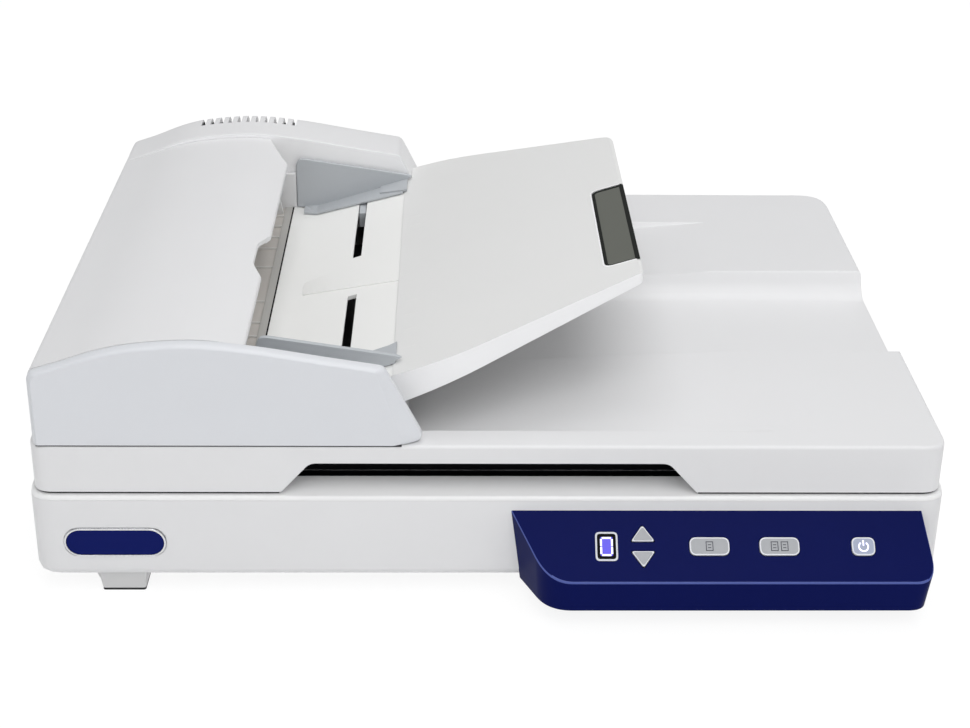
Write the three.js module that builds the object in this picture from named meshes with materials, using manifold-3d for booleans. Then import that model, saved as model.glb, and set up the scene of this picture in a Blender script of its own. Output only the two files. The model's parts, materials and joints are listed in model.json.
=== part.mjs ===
import * as THREE from "three";
import { mergeVertices } from "three/addons/utils/BufferGeometryUtils.js";
import Module from "manifold-3d";

// Flatbed scanner with a sheet feeder on its hinged lid. Millimetres; X to the right, Y to the back, Z up
// from the floor. Until the last lines the origin is the middle of the base's outline, on the floor.

// Fits and drawing values
const gap = 0.3; // between pieces that touch on the real object
const slack = 0.5; // between pieces that move past each other
const overrun = 6; // how far a cutter passes the face that it opens
const weld = 0.0001; // points closer than this are one point
const weldOverlap = 0.2; // how far joined solids run into each other
const arcSteps = 4;
const roundSteps = 3;
const boreSides = 16;
const rollSides = 24;
const radians = THREE.MathUtils.degToRad;

// Base: a tub with a deck that carries the glass
const bodyWidth = 500;
const bodyDepth = 353.5;
const half = 0.5;
const left = -bodyWidth * half;
const right = bodyWidth * half;
const front = -bodyDepth * half;
const rear = bodyDepth * half;
const frontCorner = 14;
const rearCorner = 22;
const underGap = 12;
const tubRim = 61.7;
const tubWall = 3;
const tubFloor = 2.5;
const tubRound = 6;
const deckTop = 64;
const deckRound = 1.6;
const lipDepth = 5;
const lipWall = 2;

// Feet
const footWidth = 30;
const footTip = 24;
const footInset = 47.5;
const footSetback = 5;
const padHeight = 1.6;
const padInset = 0.6;

// Glass windows in the deck
const platenInset = 110; // from the left end
const platenMargin = 28; // from the right end
const platenLeft = left + platenInset;
const platenLength = bodyWidth - platenInset - platenMargin;
const platenWidth = 222;
const stripInset = 44;
const stripLeft = left + stripInset;
const stripLength = 36;
const stripWidth = 236;
const glassThickness = 3;
const glassDrop = 0.6;
const glassLedge = 3;
const windowRim = 3;

// Scan carriage, its rod, belt and drive
const railY = -100;
const railWidth = 5;
const rodY = 30;
const rodZ = 26;
const rodRadius = 4;
const rodPostWidth = 7;
const rodPostHalf = 9;
const homeInset = 62;
const carriageHome = left + homeInset;
const sensorLength = 22;
const sensorWidth = 228;
const sensorTop = 56;
const cradleBottom = 33;
const sensorSlit = 9;
const sensorSlitDepth = 1.5;
const cradleFloor = 2.5;
const cradleWall = 2;
const cradleLip = 8;
const bearingLength = 40;
const bearingHalf = 8;
const beltY = 54;
const beltZ = 22;
const beltHeight = 6;
const beltThickness = 1.2;
const pulleyRadius = 6;
const pulleyFlange = 1.2;
const drivePulleyInset = 24;
const drivePulleyX = left + drivePulleyInset;
const idlerPulleyInset = 16;
const idlerPulleyX = right - idlerPulleyInset;
const axleRadius = 2.5;
const driveTeeth = 30;
const driveModule = 1;
const driveGearWidth = 5;
const motorTeeth = 12;
const motorRadius = 13;
const motorHeight = 14;
const motorShaft = 1.5;
const clampLength = 14;
const clampWall = 2.2;
const shoeHeight = 2.7;

// Main board and sockets
const boardInset = 190; // from the right end
const boardLeft = right - boardInset;
const boardLength = 120;
const boardDepth = 46;
const boardThickness = 1.6;
const boardLift = 5;
const boardPost = 3;
const boardSetback = 8;
const chipSize = 14;
const chipHeight = 1.8;
const socketWidth = 14;
const socketHeight = 13;
const socketDepth = 18;
const dcInset = 16;
const dcX = boardLeft + dcInset;
const usbInset = 48;
const usbX = boardLeft + usbInset;
const dcBore = 3.6;
const dcPin = 0.9;
const dcPinRecess = 5.4;
const usbOpening = 8.6;
const socketBoreDepth = 12;

// Control panel
const panelInset = 11; // from the right end
const panelWidth = 226.1;
const panelRight = right - panelInset;
const panelLeft = panelRight - panelWidth;
const panelDepth = 30;
const panelTop = 55.5;
const panelLow = 29;
const panelBottom = 12;
const panelWall = 2.4;
const panelLeftRun = 19; // how far the left side comes in towards the front
const panelCorner = 14;
const panelEdge = 2.5;
const panelFloorRound = 3;
const capRise = 0.9;
const buttonTravel = 0.8;
const buttonFlange = 1.2;
const buttonFlangeDepth = 1.4;
const buttonStem = 3.2;
const panelBoardDepth = 8;
const panelBoardInset = 39.1;
const panelBoardMargin = 23;
const panelBoardLeft = panelLeft + panelBoardInset;
const panelBoardRight = panelRight - panelBoardMargin;
const panelBoardUp = 10;
const panelBoardDown = 14;
const panelPost = 2.4;
const harnessWidth = 60;
const harnessHeight = 14;
const displayInset = 50.4;
const displayX = panelLeft + displayInset;
const displayWidth = 12.6;
const displayHeight = 16.4;
const displayCorner = 1.6;
const arrowInset = 70.1;
const arrowX = panelLeft + arrowInset;
const arrowWidth = 13;
const arrowHeight = 9;
const arrowGap = 5.4; // between the bases of the two arrows
const arrowRound = 1.4;
const singleInset = 106.1;
const singleX = panelLeft + singleInset;
const doubleInset = 144.1;
const doubleX = panelLeft + doubleInset;
const pillWidth = 22.6;
const pillHeight = 10.6;
const powerInset = 36.4;
const powerX = panelRight - powerInset;
const powerWidth = 13.6;
const powerHeight = 10.8;
const powerCorner = 4.4;

// Badge plate, left bare
const badgeInset = 45.7;
const badgeX = left + badgeInset;
const badgeZ = 34.9;
const badgeWidth = 55.6;
const badgeHeight = 18;
const badgeDepth = 1.2;
const badgeProud = 0.7;

// Lid hinges
const hingeInset = 100;
const hingeX = right - hingeInset;
const hingeSetback = 7.65; // behind the base
const hingeY = rear + hingeSetback;
const hingeZ = 64;
const hingeRadius = 6.3;
const hingeWidth = 30;
const hingeFoot = 30;
const armWidth = 14;
const armHeight = 22;
const armThickness = 3;
const hingePin = 2.5;

// Lid
const lidInset = 2.3;
const lidBottom = 65.4;
const lidTop = 94.3;
const lidWall = 2.5;
const lidSkin = 2.6;
const lidRound = 2.6;
const rampEndInset = 94;
const rampEnd = right - rampEndInset;
const rampLow = 82.3;
const rampFrontInset = 18.75;
const rampFront = front + rampFrontInset;
const rampRearInset = 47.75;
const rampRear = rear - rampRearInset;
const troughFloor = 80.6;
const troughFront = -59;
const troughRear = 49.5;
const troughFrontFoot = -44;
const troughRearFoot = 29;
const notchWide = 226;
const notchNarrow = 194;
const notchTop = 85.7;
const pocketLevel = 11; // how far the notch runs in before its roof slopes down
const pocketDepth = 27;
const linerTop = 71.4;
const linerThickness = 2;
const linerPost = 3.5;
const padClear = 2;

// Sheet feeder housing
const feederInset = 5;
const feederLeft = left + feederInset; // a "run" is measured from here to the right
const feederBase = 94.6;
const feederFrontInset = 10.15;
const feederFront = front + feederFrontInset;
const feederRearInset = 44.35;
const feederRear = rear - feederRearInset;
const feederWall = 2.5;
const capRound = 4;
const coverGap = 0.4;
const crestZ = 156.4;
const capShoulderRun = 192;
const capShoulderX = feederLeft + capShoulderRun;
const capSlope = 18; // how far the right end slopes out from shoulder to foot
const capFootX = capShoulderX + capSlope;
const capFootZ = 102;
const capHeel = 2.5; // how far the right end comes back in below its foot
const capFootRound = 6;
const capShoulderRound = 5;
const ventCount = 11;
const ventPitch = 5.9;
const ventWidth = 3;
const ventRun = 55.5;
const ventFirst = feederLeft + ventRun;
const ventDepth = 8;
const ventInset = 13;

// Feeder cover
const coverSkin = 2.6;
const coverRollRadius = 4.6;
const coverPinRadius = 2;
const coverPinLength = 2;
const coverEdgeRun = 115.5;
const coverEdgeX = feederLeft + coverEdgeRun;
const coverEdgeZ = 150.6;
const coverCreaseRun = 102;
const coverCreaseX = feederLeft + coverCreaseRun;
const coverCreaseZ = 155.2;
const coverLip = 4;
const coverNotchCentre = -51;
const coverNotchWide = 58;
const coverNotchNarrow = 28;
const coverNotchDepth = 6;

// Sloping paper bed and input tray, which lie in one plane that rises to the right
const trayPitch = 17.45; // degrees
const bedStartRun = 114;
const bedStart = feederLeft + bedStartRun;
const bedLevelRun = 132;
const bedLevel = feederLeft + bedLevelRun; // left of this the bed runs level
const bedLevelZ = 105.18; // height of the plane there
const bedEnd = capShoulderX;
const bedThickness = 2.5;
const bedFrontInset = 17.6;
const bedFront = feederFront + bedFrontInset;
const bedRearInset = 0.8;
const bedRear = feederRear - bedRearInset;
const bedDrop = 0.8;
const feedCentre = -3;
const tongueStart = 8;
const tongueEnd = 26;
const slotInset = 28;
const slotX = bedEnd - slotInset;
const slotWidth = 5.4;
const trayRootGap = 0.4;
const trayStart = bedEnd + trayRootGap;
const trayShoulder = 25.8; // full width up to here
const trayCorner = trayStart + trayShoulder;
const trayLength = 136.1;
const trayTip = trayStart + trayLength;
const trayFrontInset = 16.6;
const trayHalf = -feederFront - trayFrontInset;
const trayTaper = 46.6;
const trayTipHalf = trayHalf - trayTaper;
const trayTipRound = 9;
const traySkin = 1.9;
const traySkirt = 2.5;
const trayDeep = 15.5;
const trayShallow = 6.8;

// Tray extension
const extensionFrontInset = 13.4;
const extensionWidth = 110;
const extensionFront = -trayTipHalf + extensionFrontInset;
const extensionRear = extensionFront + extensionWidth;
const extensionThickness = 2.6;
const extensionLength = 100;
const extensionGrip = 17;
const extensionWall = 2;
const extensionCorner = 5;

// Paper guides with their racks and pinion
const guideWall = 2.6;
const guideRearGap = 1.8;
const guideHalf = feederRear - guideRearGap - guideWall - feedCentre;
const guideStartRun = 123;
const guideStart = feederLeft + guideStartRun;
const guideEndInset = 1;
const guideEnd = bedEnd - guideEndInset;
const guideTall = 36;
const guideLow = 4.6;
const guidePoint = 4;
const guideTopRound = 7;
const guideFoot = 20;
const guideFootNarrow = 12;
const guideFootThickness = 1.4;
const guideClosed = 65; // half the paper width at the guides' closed end
const guideTravel = guideHalf - guideClosed;
const neckInset = 30;
const neckInner = guideHalf - neckInset;
const neckLength = 20;
const slotMargin = 3;
const slotOuter = neckInner + neckLength + slotMargin;
const slotClearance = 7;
const slotInner = neckInner - guideTravel - slotClearance;
const neckWidth = 4.4;
const rackModule = 1.5;
const pinionTeeth = 12;
const rackReach = 14; // to the left of the slots
const rackClearance = 1.14; // under the bed
const rackTop = bedZ(slotX - rackReach) - bedThickness - rackClearance;
const rackThickness = 3.2;
const rackBack = 3;
const rackTail = 8;
const pinionAxle = 2;

// Feeder paper path, rollers and gears; every shaft lies along Y
const sidePlateInset = 9; // inside the open guides
const sidePlateHalf = guideHalf - sidePlateInset;
const sidePlateWall = 2.5;
const sidePlateLeftRun = 5;
const sidePlateLeft = feederLeft + sidePlateLeftRun;
const sidePlateDrop = 6.5; // below the feeder's crest line
const sidePlateStepRun = 109;
const sidePlateStep = feederLeft + sidePlateStepRun;
const readTabLeftRun = 31;
const readTabLeft = feederLeft + readTabLeftRun;
const readTabRightRun = 79;
const readTabRight = feederLeft + readTabRightRun;
const sidePlateLow = 66.5;
const exitTabLow = 80;
const sidePlateEndInset = 0.5;
const sidePlateRight = bedEnd - sidePlateEndInset;
const turnRun = 40;
const turnX = feederLeft + turnRun;
const turnRise = 0.82; // above the bed's level stretch
const turnZ = bedLevelZ + turnRise;
const turnRadius = 18;
const turnTeeth = 28;
const feedTeeth = 24;
const feederPinionTeeth = 10;
const feederModule = 1.2;
const feedAngle = 20; // degrees, seen from the front, from the turn shaft to its neighbour
const feederMotorAngle = 100;
const shaftRadius = 3;
const shaftEnd = 1.4; // how far a shaft passes its side plate
const feedRadius = 9;
const feedRollerWidth = 40;
const turnRollerWidth = 24;
const turnRollerSpread = 72;
const gearWidth = 5;
const gearStart = 1;
const pickRun = 88;
const pickX = feederLeft + pickRun;
const pickRadius = 8;
const pickRollerWidth = 34;
const nip = 0.6; // paper room at a roller
const pathDrop = 1.68; // below the bed's level stretch
const pathFloorZ = bedLevelZ - pathDrop;
const pathStartRun = 58.5;
const pathStart = feederLeft + pathStartRun;
const pathThickness = 2.2;
const pathRib = 1;
const pathRibWidth = 1.6;
const ribSpreadShares = [-0.94, -0.84, -0.66, -0.42, -0.2, 0.2, 0.42, 0.66, 0.84, 0.94];
const padPlateLength = 12;
const padPlateWidth = 36;
const readRun = 57;
const readX = feederLeft + readRun;
const readRadius = 7;
const readRollerInset = 14;
const readRollerWidth = 2 * (sidePlateHalf - readRollerInset);
const exitInset = 9;
const exitX = bedEnd - exitInset;
const exitRadius = 6.5;
const exitRollerWidth = 26;
const exitRollerSpread = 60;
const exitTab = 10;
const feederMotorRadius = 14;
const feederMotorLength = 20;
const chuteStartRun = 81;
const chuteStart = feederLeft + chuteStartRun;
const chuteBendRun = 99;
const chuteBend = feederLeft + chuteBendRun;
const chuteReach = 3.5; // past the bed
const chuteEnd = bedEnd + chuteReach;
const chuteLow = 66.4;
const chuteBendZ = 76;
const chuteHigh = 83.4;
const chuteThickness = 1.8;
const windowLeftRun = 13;
const windowLeft = feederLeft + windowLeftRun;
const windowReach = 5; // past the bed
const windowRight = bedEnd + windowReach;
const windowMargin = 5;
const windowHalf = sidePlateHalf + windowMargin;
const linerSlotLeftRun = 29;
const linerSlotLeft = feederLeft + linerSlotLeftRun;
const linerSlotRightRun = 99;
const linerSlotRight = feederLeft + linerSlotRightRun;

const wasm = await Module();
wasm.setup();

// A closed geometry as a solid that can be joined and cut
function solid(geometry) {
  geometry.deleteAttribute("normal");
  geometry.deleteAttribute("uv");
  const merged = mergeVertices(geometry, weld);
  const places = merged.attributes.position.array;
  return new wasm.Manifold(
    new wasm.Mesh({
      numProp: 3,
      vertProperties: Float32Array.from(places, (place) => Math.round(place / weld) * weld),
      triVerts: new Uint32Array(merged.index.array),
    }),
  );
}

function material(color, roughness, metalness = 0) {
  return new THREE.MeshStandardMaterial({ color, roughness, metalness });
}

// A named mesh from a solid
function piece(name, body, finish) {
  const made = body.getMesh();
  const geometry = new THREE.BufferGeometry();
  const places = new Float32Array(made.numVert * 3);
  for (let i = 0; i < made.numVert; i++) {
    places.set(made.vertProperties.subarray(i * made.numProp, i * made.numProp + 3), i * 3);
  }
  geometry.setAttribute("position", new THREE.BufferAttribute(places, 3));
  geometry.setIndex(new THREE.BufferAttribute(new Uint32Array(made.triVerts), 1));
  geometry.computeVertexNormals();
  const mesh = new THREE.Mesh(geometry, finish);
  mesh.name = name;
  return mesh;
}

// A flat outline from [x, y, corner size] points; a corner size rounds that corner
function outline(points) {
  const shape = new THREE.Shape();
  points.forEach(([x, y, corner = 0], i) => {
    const here = new THREE.Vector2(x, y);
    const before = new THREE.Vector2(...points[(i + points.length - 1) % points.length]);
    const after = new THREE.Vector2(...points[(i + 1) % points.length]);
    const start = here.clone().add(before.sub(here).setLength(corner));
    const end = here.clone().add(after.sub(here).setLength(corner));
    if (i === 0) {
      shape.moveTo(start.x, start.y);
    } else {
      shape.lineTo(start.x, start.y);
    }
    if (corner > 0) {
      shape.quadraticCurveTo(x, y, end.x, end.y);
    }
  });
  return shape;
}

// The shape pushed along an axis, with both end edges rounded if asked. Its own x and y become
// Y and Z along "x", X and Z along "y", and X and Y along "z".
function prism(axis, shape, from, to, round = 0) {
  const geometry = new THREE.ExtrudeGeometry(shape, {
    depth: to - from - 2 * round,
    curveSegments: arcSteps,
    bevelEnabled: round > 0,
    bevelThickness: round,
    bevelSize: round,
    bevelOffset: -round,
    bevelSegments: roundSteps,
  });
  geometry.translate(0, 0, (axis === "y" ? -to : from) + round);
  const unitX = new THREE.Vector3(1, 0, 0);
  const unitY = new THREE.Vector3(0, 1, 0);
  const unitZ = new THREE.Vector3(0, 0, 1);
  if (axis === "x") {
    geometry.applyMatrix4(new THREE.Matrix4().makeBasis(unitY, unitZ, unitX));
  }
  if (axis === "y") {
    geometry.applyMatrix4(new THREE.Matrix4().makeBasis(unitX, unitZ, unitY.negate()));
  }
  return solid(geometry);
}

function box(x0, x1, y0, y1, z0, z1) {
  const geometry = new THREE.BoxGeometry(x1 - x0, y1 - y0, z1 - z0);
  geometry.translate((x0 + x1) / 2, (y0 + y1) / 2, (z0 + z1) / 2);
  return solid(geometry);
}

// A round bar along an axis, through (a, b): the two other coordinates in X, Y, Z order
function bar(axis, a, b, from, to, radius, sides = boreSides, endRadius = radius) {
  const geometry = new THREE.CylinderGeometry(endRadius, radius, to - from, sides);
  geometry.translate(0, (from + to) / 2, 0);
  if (axis === "x") {
    geometry.rotateZ(-Math.PI / 2).translate(0, a, b);
  }
  if (axis === "y") {
    geometry.translate(a, 0, b);
  }
  if (axis === "z") {
    geometry.rotateX(Math.PI / 2).translate(a, b, 0);
  }
  return solid(geometry);
}

// A four-sided post that narrows downwards
function post(x, y, z0, z1, lowHalf, topHalf) {
  const geometry = new THREE.CylinderGeometry(topHalf * Math.SQRT2, lowHalf * Math.SQRT2, z1 - z0, 4);
  geometry.rotateY(Math.PI / 4).rotateX(Math.PI / 2).translate(x, y, (z0 + z1) / 2);
  return solid(geometry);
}

function join(first, ...others) {
  return others.reduce((sum, other) => sum.add(other), first);
}

function cut(first, ...others) {
  return others.reduce((rest, other) => rest.subtract(other), first);
}

function rectangle(x0, x1, y0, y1, corner = 0) {
  return outline([
    [x0, y0, corner],
    [x1, y0, corner],
    [x1, y1, corner],
    [x0, y1, corner],
  ]);
}

function cornered(inset) {
  return outline([
    [left + inset, front + inset, frontCorner - inset],
    [right - inset, front + inset, frontCorner - inset],
    [right - inset, rear - inset, rearCorner - inset],
    [left + inset, rear - inset, rearCorner - inset],
  ]);
}

// Gears. Tooth sizes are shares of the module; the flanks leave room to run.
const tipShare = 0.8;
const rootShare = 1.15;
const tipThicknessShare = 0.2; // of the pitch, as the next one
const rootThicknessShare = 0.56;

function gearOutline(teeth, module, phase) {
  const pitchRadius = (teeth * module) / 2;
  const step = (2 * Math.PI) / teeth;
  const points = [];
  for (let i = 0; i < teeth; i++) {
    const middle = phase + i * step;
    [
      [-rootThicknessShare, -rootShare],
      [-tipThicknessShare, tipShare],
      [tipThicknessShare, tipShare],
      [rootThicknessShare, -rootShare],
    ].forEach(([width, height]) => {
      const radius = pitchRadius + height * module;
      const angle = middle + (width * step) / 2;
      points.push(new THREE.Vector2(radius * Math.cos(angle), radius * Math.sin(angle)));
    });
  }
  return new THREE.Shape(points);
}

// Phase of a gear's teeth so that it meshes with a neighbour that lies back along the angle
function meshPhase(angle, neighbourTeeth, neighbourPhase, teeth) {
  const turn = 2 * Math.PI;
  const passed = ((angle - neighbourPhase) * neighbourTeeth) / turn;
  return angle + Math.PI - ((half - passed) * turn) / teeth;
}

const floorTop = underGap + tubFloor;
const model = new THREE.Group();

function add(name, body, color, roughness, metalness) {
  model.add(piece(name, body, material(color, roughness, metalness)));
}

// Base tub with its feet, posts and axles
const footHalf = footWidth / 2;
const footPlaces = [
  ["front_left", left + footInset, front + footSetback + footHalf],
  ["front_right", right - footInset, front + footSetback + footHalf],
  ["rear_left", left + footInset, rear - footSetback - footHalf],
  ["rear_right", right - footInset, rear - footSetback - footHalf],
];
const boardTop = floorTop + boardLift + boardThickness;
const boardRear = rear - boardSetback;
const socketMiddle = boardTop + socketHeight / 2;
const rodEnd = right - tubWall;

function pill(x, z, width, height) {
  return rectangle(x - width / 2, x + width / 2, z - height / 2, z + height / 2, height / 2);
}

function baseTub() {
  const floorIn = floorTop - tubFloor / 2;
  const railTop = cradleBottom - shoeHeight - gap;
  const axleShoulder = beltZ - gap - pulleyFlange - gap;
  const driveAxleTop = beltZ + beltHeight + pulleyFlange + driveGearWidth + 2 * gap;
  let tub = cut(
    prism("z", cornered(0), underGap, tubRim + 2 * tubRound, tubRound),
    box(left - overrun, right + overrun, front - overrun, rear + overrun, tubRim, tubRim + 3 * tubRound),
    prism("z", cornered(tubWall), floorTop, tubRim + overrun),
  );
  footPlaces.forEach(([, x, y]) => {
    tub = join(tub, post(x, y, padHeight, floorIn, footTip / 2, footHalf));
  });
  [-1, 1].forEach((side) => {
    const reach = (rodPostWidth + tubWall / 2) / 2;
    const x = side * (rodEnd + tubWall / 2 - reach);
    tub = join(
      tub,
      box(x - reach, x + reach, rodY - rodPostHalf, rodY + rodPostHalf, floorIn, rodZ + rodPostHalf),
    );
  });
  tub = cut(tub, bar("x", rodY, rodZ, -rodEnd, rodEnd, rodRadius + gap));
  [
    [drivePulleyX, driveAxleTop],
    [idlerPulleyX, beltZ + beltHeight + pulleyFlange + gap],
  ].forEach(([x, top]) => {
    tub = join(
      tub,
      bar("z", x, beltY, floorIn, axleShoulder, 2 * axleRadius),
      bar("z", x, beltY, floorIn, top, axleRadius),
    );
  });
  tub = join(
    tub,
    box(
      left + tubWall / 2,
      right - tubWall / 2,
      railY - railWidth / 2,
      railY + railWidth / 2,
      floorIn,
      railTop,
    ),
  );
  [boardLeft + 2 * boardPost, boardLeft + boardLength - 2 * boardPost].forEach((x) => {
    [boardRear - 2 * boardPost, boardRear - boardDepth + 2 * boardPost].forEach((y) => {
      tub = join(tub, bar("z", x, y, floorIn, floorTop + boardLift, boardPost));
    });
  });
  const socketHalf = socketWidth / 2 + gap;
  [dcX, usbX].forEach((x) => {
    tub = cut(
      tub,
      box(
        x - socketHalf,
        x + socketHalf,
        rear - tubWall - overrun,
        rear + overrun,
        boardTop - gap,
        boardTop + socketHeight + gap,
      ),
    );
  });
  const harnessX = (panelLeft + panelRight) / 2;
  return cut(
    tub,
    prism(
      "y",
      pill(badgeX, badgeZ, badgeWidth + 2 * gap, badgeHeight + 2 * gap),
      front - overrun,
      front + badgeDepth - badgeProud + gap,
    ),
    box(
      harnessX - harnessWidth / 2,
      harnessX + harnessWidth / 2,
      front - overrun,
      front + tubWall + overrun,
      (panelTop + panelLow) / 2 - harnessHeight,
      (panelTop + panelLow) / 2,
    ),
  );
}

// Deck with the two glass windows
const platenRight = platenLeft + platenLength;
const stripRight = stripLeft + stripLength;
const glassTop = deckTop - glassDrop;
const glassBottom = glassTop - glassThickness;

function deck() {
  const plate = cut(
    prism("z", cornered(0), tubRim - 2 * deckRound, deckTop, deckRound),
    box(left - overrun, right + overrun, front - overrun, rear + overrun, -overrun, tubRim),
  );
  const lip = cut(
    prism("z", cornered(tubWall + gap), tubRim - lipDepth, tubRim + weldOverlap),
    prism("z", cornered(tubWall + gap + lipWall), tubRim - lipDepth - overrun, tubRim + overrun),
  );
  const rimBottom = glassBottom - gap - glassLedge;
  const windows = [
    [platenLeft, platenRight, platenWidth / 2],
    [stripLeft, stripRight, stripWidth / 2],
  ];
  let frame = join(plate, lip);
  windows.forEach(([x0, x1, y1]) => {
    const reach = gap + windowRim;
    const rim = box(x0 - reach, x1 + reach, -y1 - reach, y1 + reach, rimBottom, tubRim + weldOverlap);
    frame = join(frame, rim);
  });
  windows.forEach(([x0, x1, y1]) => {
    frame = cut(
      frame,
      box(x0 - gap, x1 + gap, -y1 - gap, y1 + gap, glassBottom - gap, deckTop + overrun),
      box(
        x0 + glassLedge,
        x1 - glassLedge,
        -y1 + glassLedge,
        y1 - glassLedge,
        rimBottom - overrun,
        glassBottom,
      ),
    );
  });
  return frame;
}

// Scan carriage at its home under the strip glass
const cradleTop = cradleBottom + cradleFloor;
const sensorHalf = sensorLength / 2;

function carriage() {
  const reach = sensorHalf + gap + cradleWall;
  const bearingReach = bearingLength / 2;
  const lowRun = beltY - pulleyRadius - gap - beltThickness;
  const highRun = beltY - pulleyRadius - gap;
  const at = (x) => carriageHome + x;
  const shell = cut(
    box(at(-reach), at(reach), -sensorWidth / 2, sensorWidth / 2, cradleBottom, cradleTop + cradleLip),
    box(
      at(-sensorHalf - gap),
      at(sensorHalf + gap),
      -sensorWidth / 2 - overrun,
      sensorWidth / 2 + overrun,
      cradleTop,
      cradleTop + cradleLip + overrun,
    ),
  );
  const bearing = box(
    at(-bearingReach),
    at(bearingReach),
    rodY - bearingHalf,
    rodY + bearingHalf,
    rodZ - bearingHalf,
    cradleTop,
  );
  const shoe = box(
    at(-reach),
    at(reach),
    railY - railWidth,
    railY + railWidth,
    cradleBottom - shoeHeight,
    cradleTop,
  );
  const clamp = box(
    at(-clampLength / 2),
    at(clampLength / 2),
    lowRun - slack - clampWall,
    highRun + slack + clampWall,
    beltZ - gap,
    cradleTop,
  );
  return cut(
    join(shell, bearing, shoe, clamp),
    bar("x", rodY, rodZ, at(-bearingReach - overrun), at(bearingReach + overrun), rodRadius + gap),
    box(
      at(-clampLength),
      at(clampLength),
      lowRun - slack,
      highRun + slack,
      beltZ - overrun,
      beltZ + beltHeight + slack,
    ),
  );
}

function imageSensor() {
  const y = sensorWidth / 2;
  const slit = sensorSlit / 2;
  return cut(
    box(carriageHome - sensorHalf, carriageHome + sensorHalf, -y, y, cradleTop + gap, sensorTop),
    box(
      carriageHome - slit,
      carriageHome + slit,
      -y + sensorSlit,
      y - sensorSlit,
      sensorTop - sensorSlitDepth,
      sensorTop + overrun,
    ),
  );
}

// A belt's loop round two pulleys of the same size
function beltLoop(radius) {
  const shape = new THREE.Shape();
  shape.absarc(drivePulleyX, beltY, radius, Math.PI / 2, (3 * Math.PI) / 2);
  shape.absarc(idlerPulleyX, beltY, radius, -Math.PI / 2, Math.PI / 2);
  shape.closePath();
  return shape;
}

const beltRadius = pulleyRadius + gap;

function belt() {
  return cut(
    prism("z", beltLoop(beltRadius + beltThickness), beltZ, beltZ + beltHeight),
    prism("z", beltLoop(beltRadius), beltZ - overrun, beltZ + beltHeight + overrun),
  );
}

const pulleyLow = beltZ - gap - pulleyFlange;
const pulleyHigh = beltZ + beltHeight + gap + pulleyFlange;

function pulley(x) {
  const flangeRadius = beltRadius + beltThickness + gap;
  return cut(
    join(
      bar("z", x, beltY, pulleyLow, pulleyHigh, pulleyRadius),
      bar("z", x, beltY, pulleyLow, pulleyLow + pulleyFlange, flangeRadius),
      bar("z", x, beltY, pulleyHigh - pulleyFlange, pulleyHigh, flangeRadius),
    ),
    bar("z", x, beltY, pulleyLow - overrun, pulleyHigh + overrun, axleRadius + gap),
  );
}

function gear(axis, x, y, from, to, teeth, module, phase, bore) {
  const shape = gearOutline(teeth, module, phase);
  const wheel = prism(axis, shape, from, to);
  const placed = moved(wheel, axis === "z" ? [x, y, 0] : [x, 0, y]);
  return bore > 0 ? cut(placed, bar(axis, x, y, from - overrun, to + overrun, bore)) : placed;
}

function moved(body, [x, y, z], matrix = new THREE.Matrix4().makeTranslation(x, y, z)) {
  const geometry = piece("", body).geometry;
  geometry.applyMatrix4(matrix);
  return solid(geometry);
}

const driveGearTop = pulleyHigh + driveGearWidth;
const motorY = beltY + ((driveTeeth + motorTeeth) * driveModule) / 2;
const motorTop = floorTop + motorHeight;

function buildBase() {
  const white = 0xe3e4e8;
  add("base_tub", baseTub(), white, 0.45, 0);
  add("base_deck", deck(), white, 0.45, 0);
  footPlaces.forEach(([name, x, y]) => {
    const padHalf = footTip / 2 - padInset;
    add("foot_pad_" + name, post(x, y, 0, padHeight, padHalf, padHalf), 0x17171a, 0.9, 0);
  });
  add(
    "platen_glass",
    box(platenLeft, platenRight, -platenWidth / 2, platenWidth / 2, glassBottom, glassTop),
    0xb8c8c4,
    0.05,
    0,
  );
  add(
    "strip_glass",
    box(stripLeft, stripRight, -stripWidth / 2, stripWidth / 2, glassBottom, glassTop),
    0xb8c8c4,
    0.05,
    0,
  );
  add("guide_rod", bar("x", rodY, rodZ, -rodEnd + gap, rodEnd - gap, rodRadius), 0xb9bdc2, 0.25, 1);
  add("scan_carriage", carriage(), 0x2a2b2e, 0.6, 0);
  add("image_sensor", imageSensor(), 0x1d1e21, 0.5, 0);
  add("drive_belt", belt(), 0x1a1a1a, 0.8, 0);
  const drive = join(
    pulley(drivePulleyX),
    gear(
      "z",
      drivePulleyX,
      beltY,
      pulleyHigh - weldOverlap,
      driveGearTop,
      driveTeeth,
      driveModule,
      Math.PI / 2,
      axleRadius + gap,
    ),
  );
  add("drive_pulley", drive, 0xd8d3c4, 0.5, 0);
  add("idler_pulley", pulley(idlerPulleyX), 0xd8d3c4, 0.5, 0);
  add(
    "scan_motor",
    join(
      bar("z", drivePulleyX, motorY, floorTop, motorTop, motorRadius),
      bar("z", drivePulleyX, motorY, motorTop, driveGearTop, motorShaft),
    ),
    0x9a9da2,
    0.35,
    0.9,
  );
  add(
    "motor_pinion",
    gear(
      "z",
      drivePulleyX,
      motorY,
      motorTop + gap,
      driveGearTop,
      motorTeeth,
      driveModule,
      meshPhase(Math.PI / 2, driveTeeth, Math.PI / 2, motorTeeth),
      motorShaft + gap,
    ),
    0xb89a4a,
    0.35,
    0.9,
  );
  buildBoard();
  add(
    "badge_plate",
    prism(
      "y",
      pill(badgeX, badgeZ, badgeWidth, badgeHeight),
      front - badgeProud,
      front - badgeProud + badgeDepth,
    ),
    0x14205c,
    0.3,
    0,
  );
}

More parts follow.
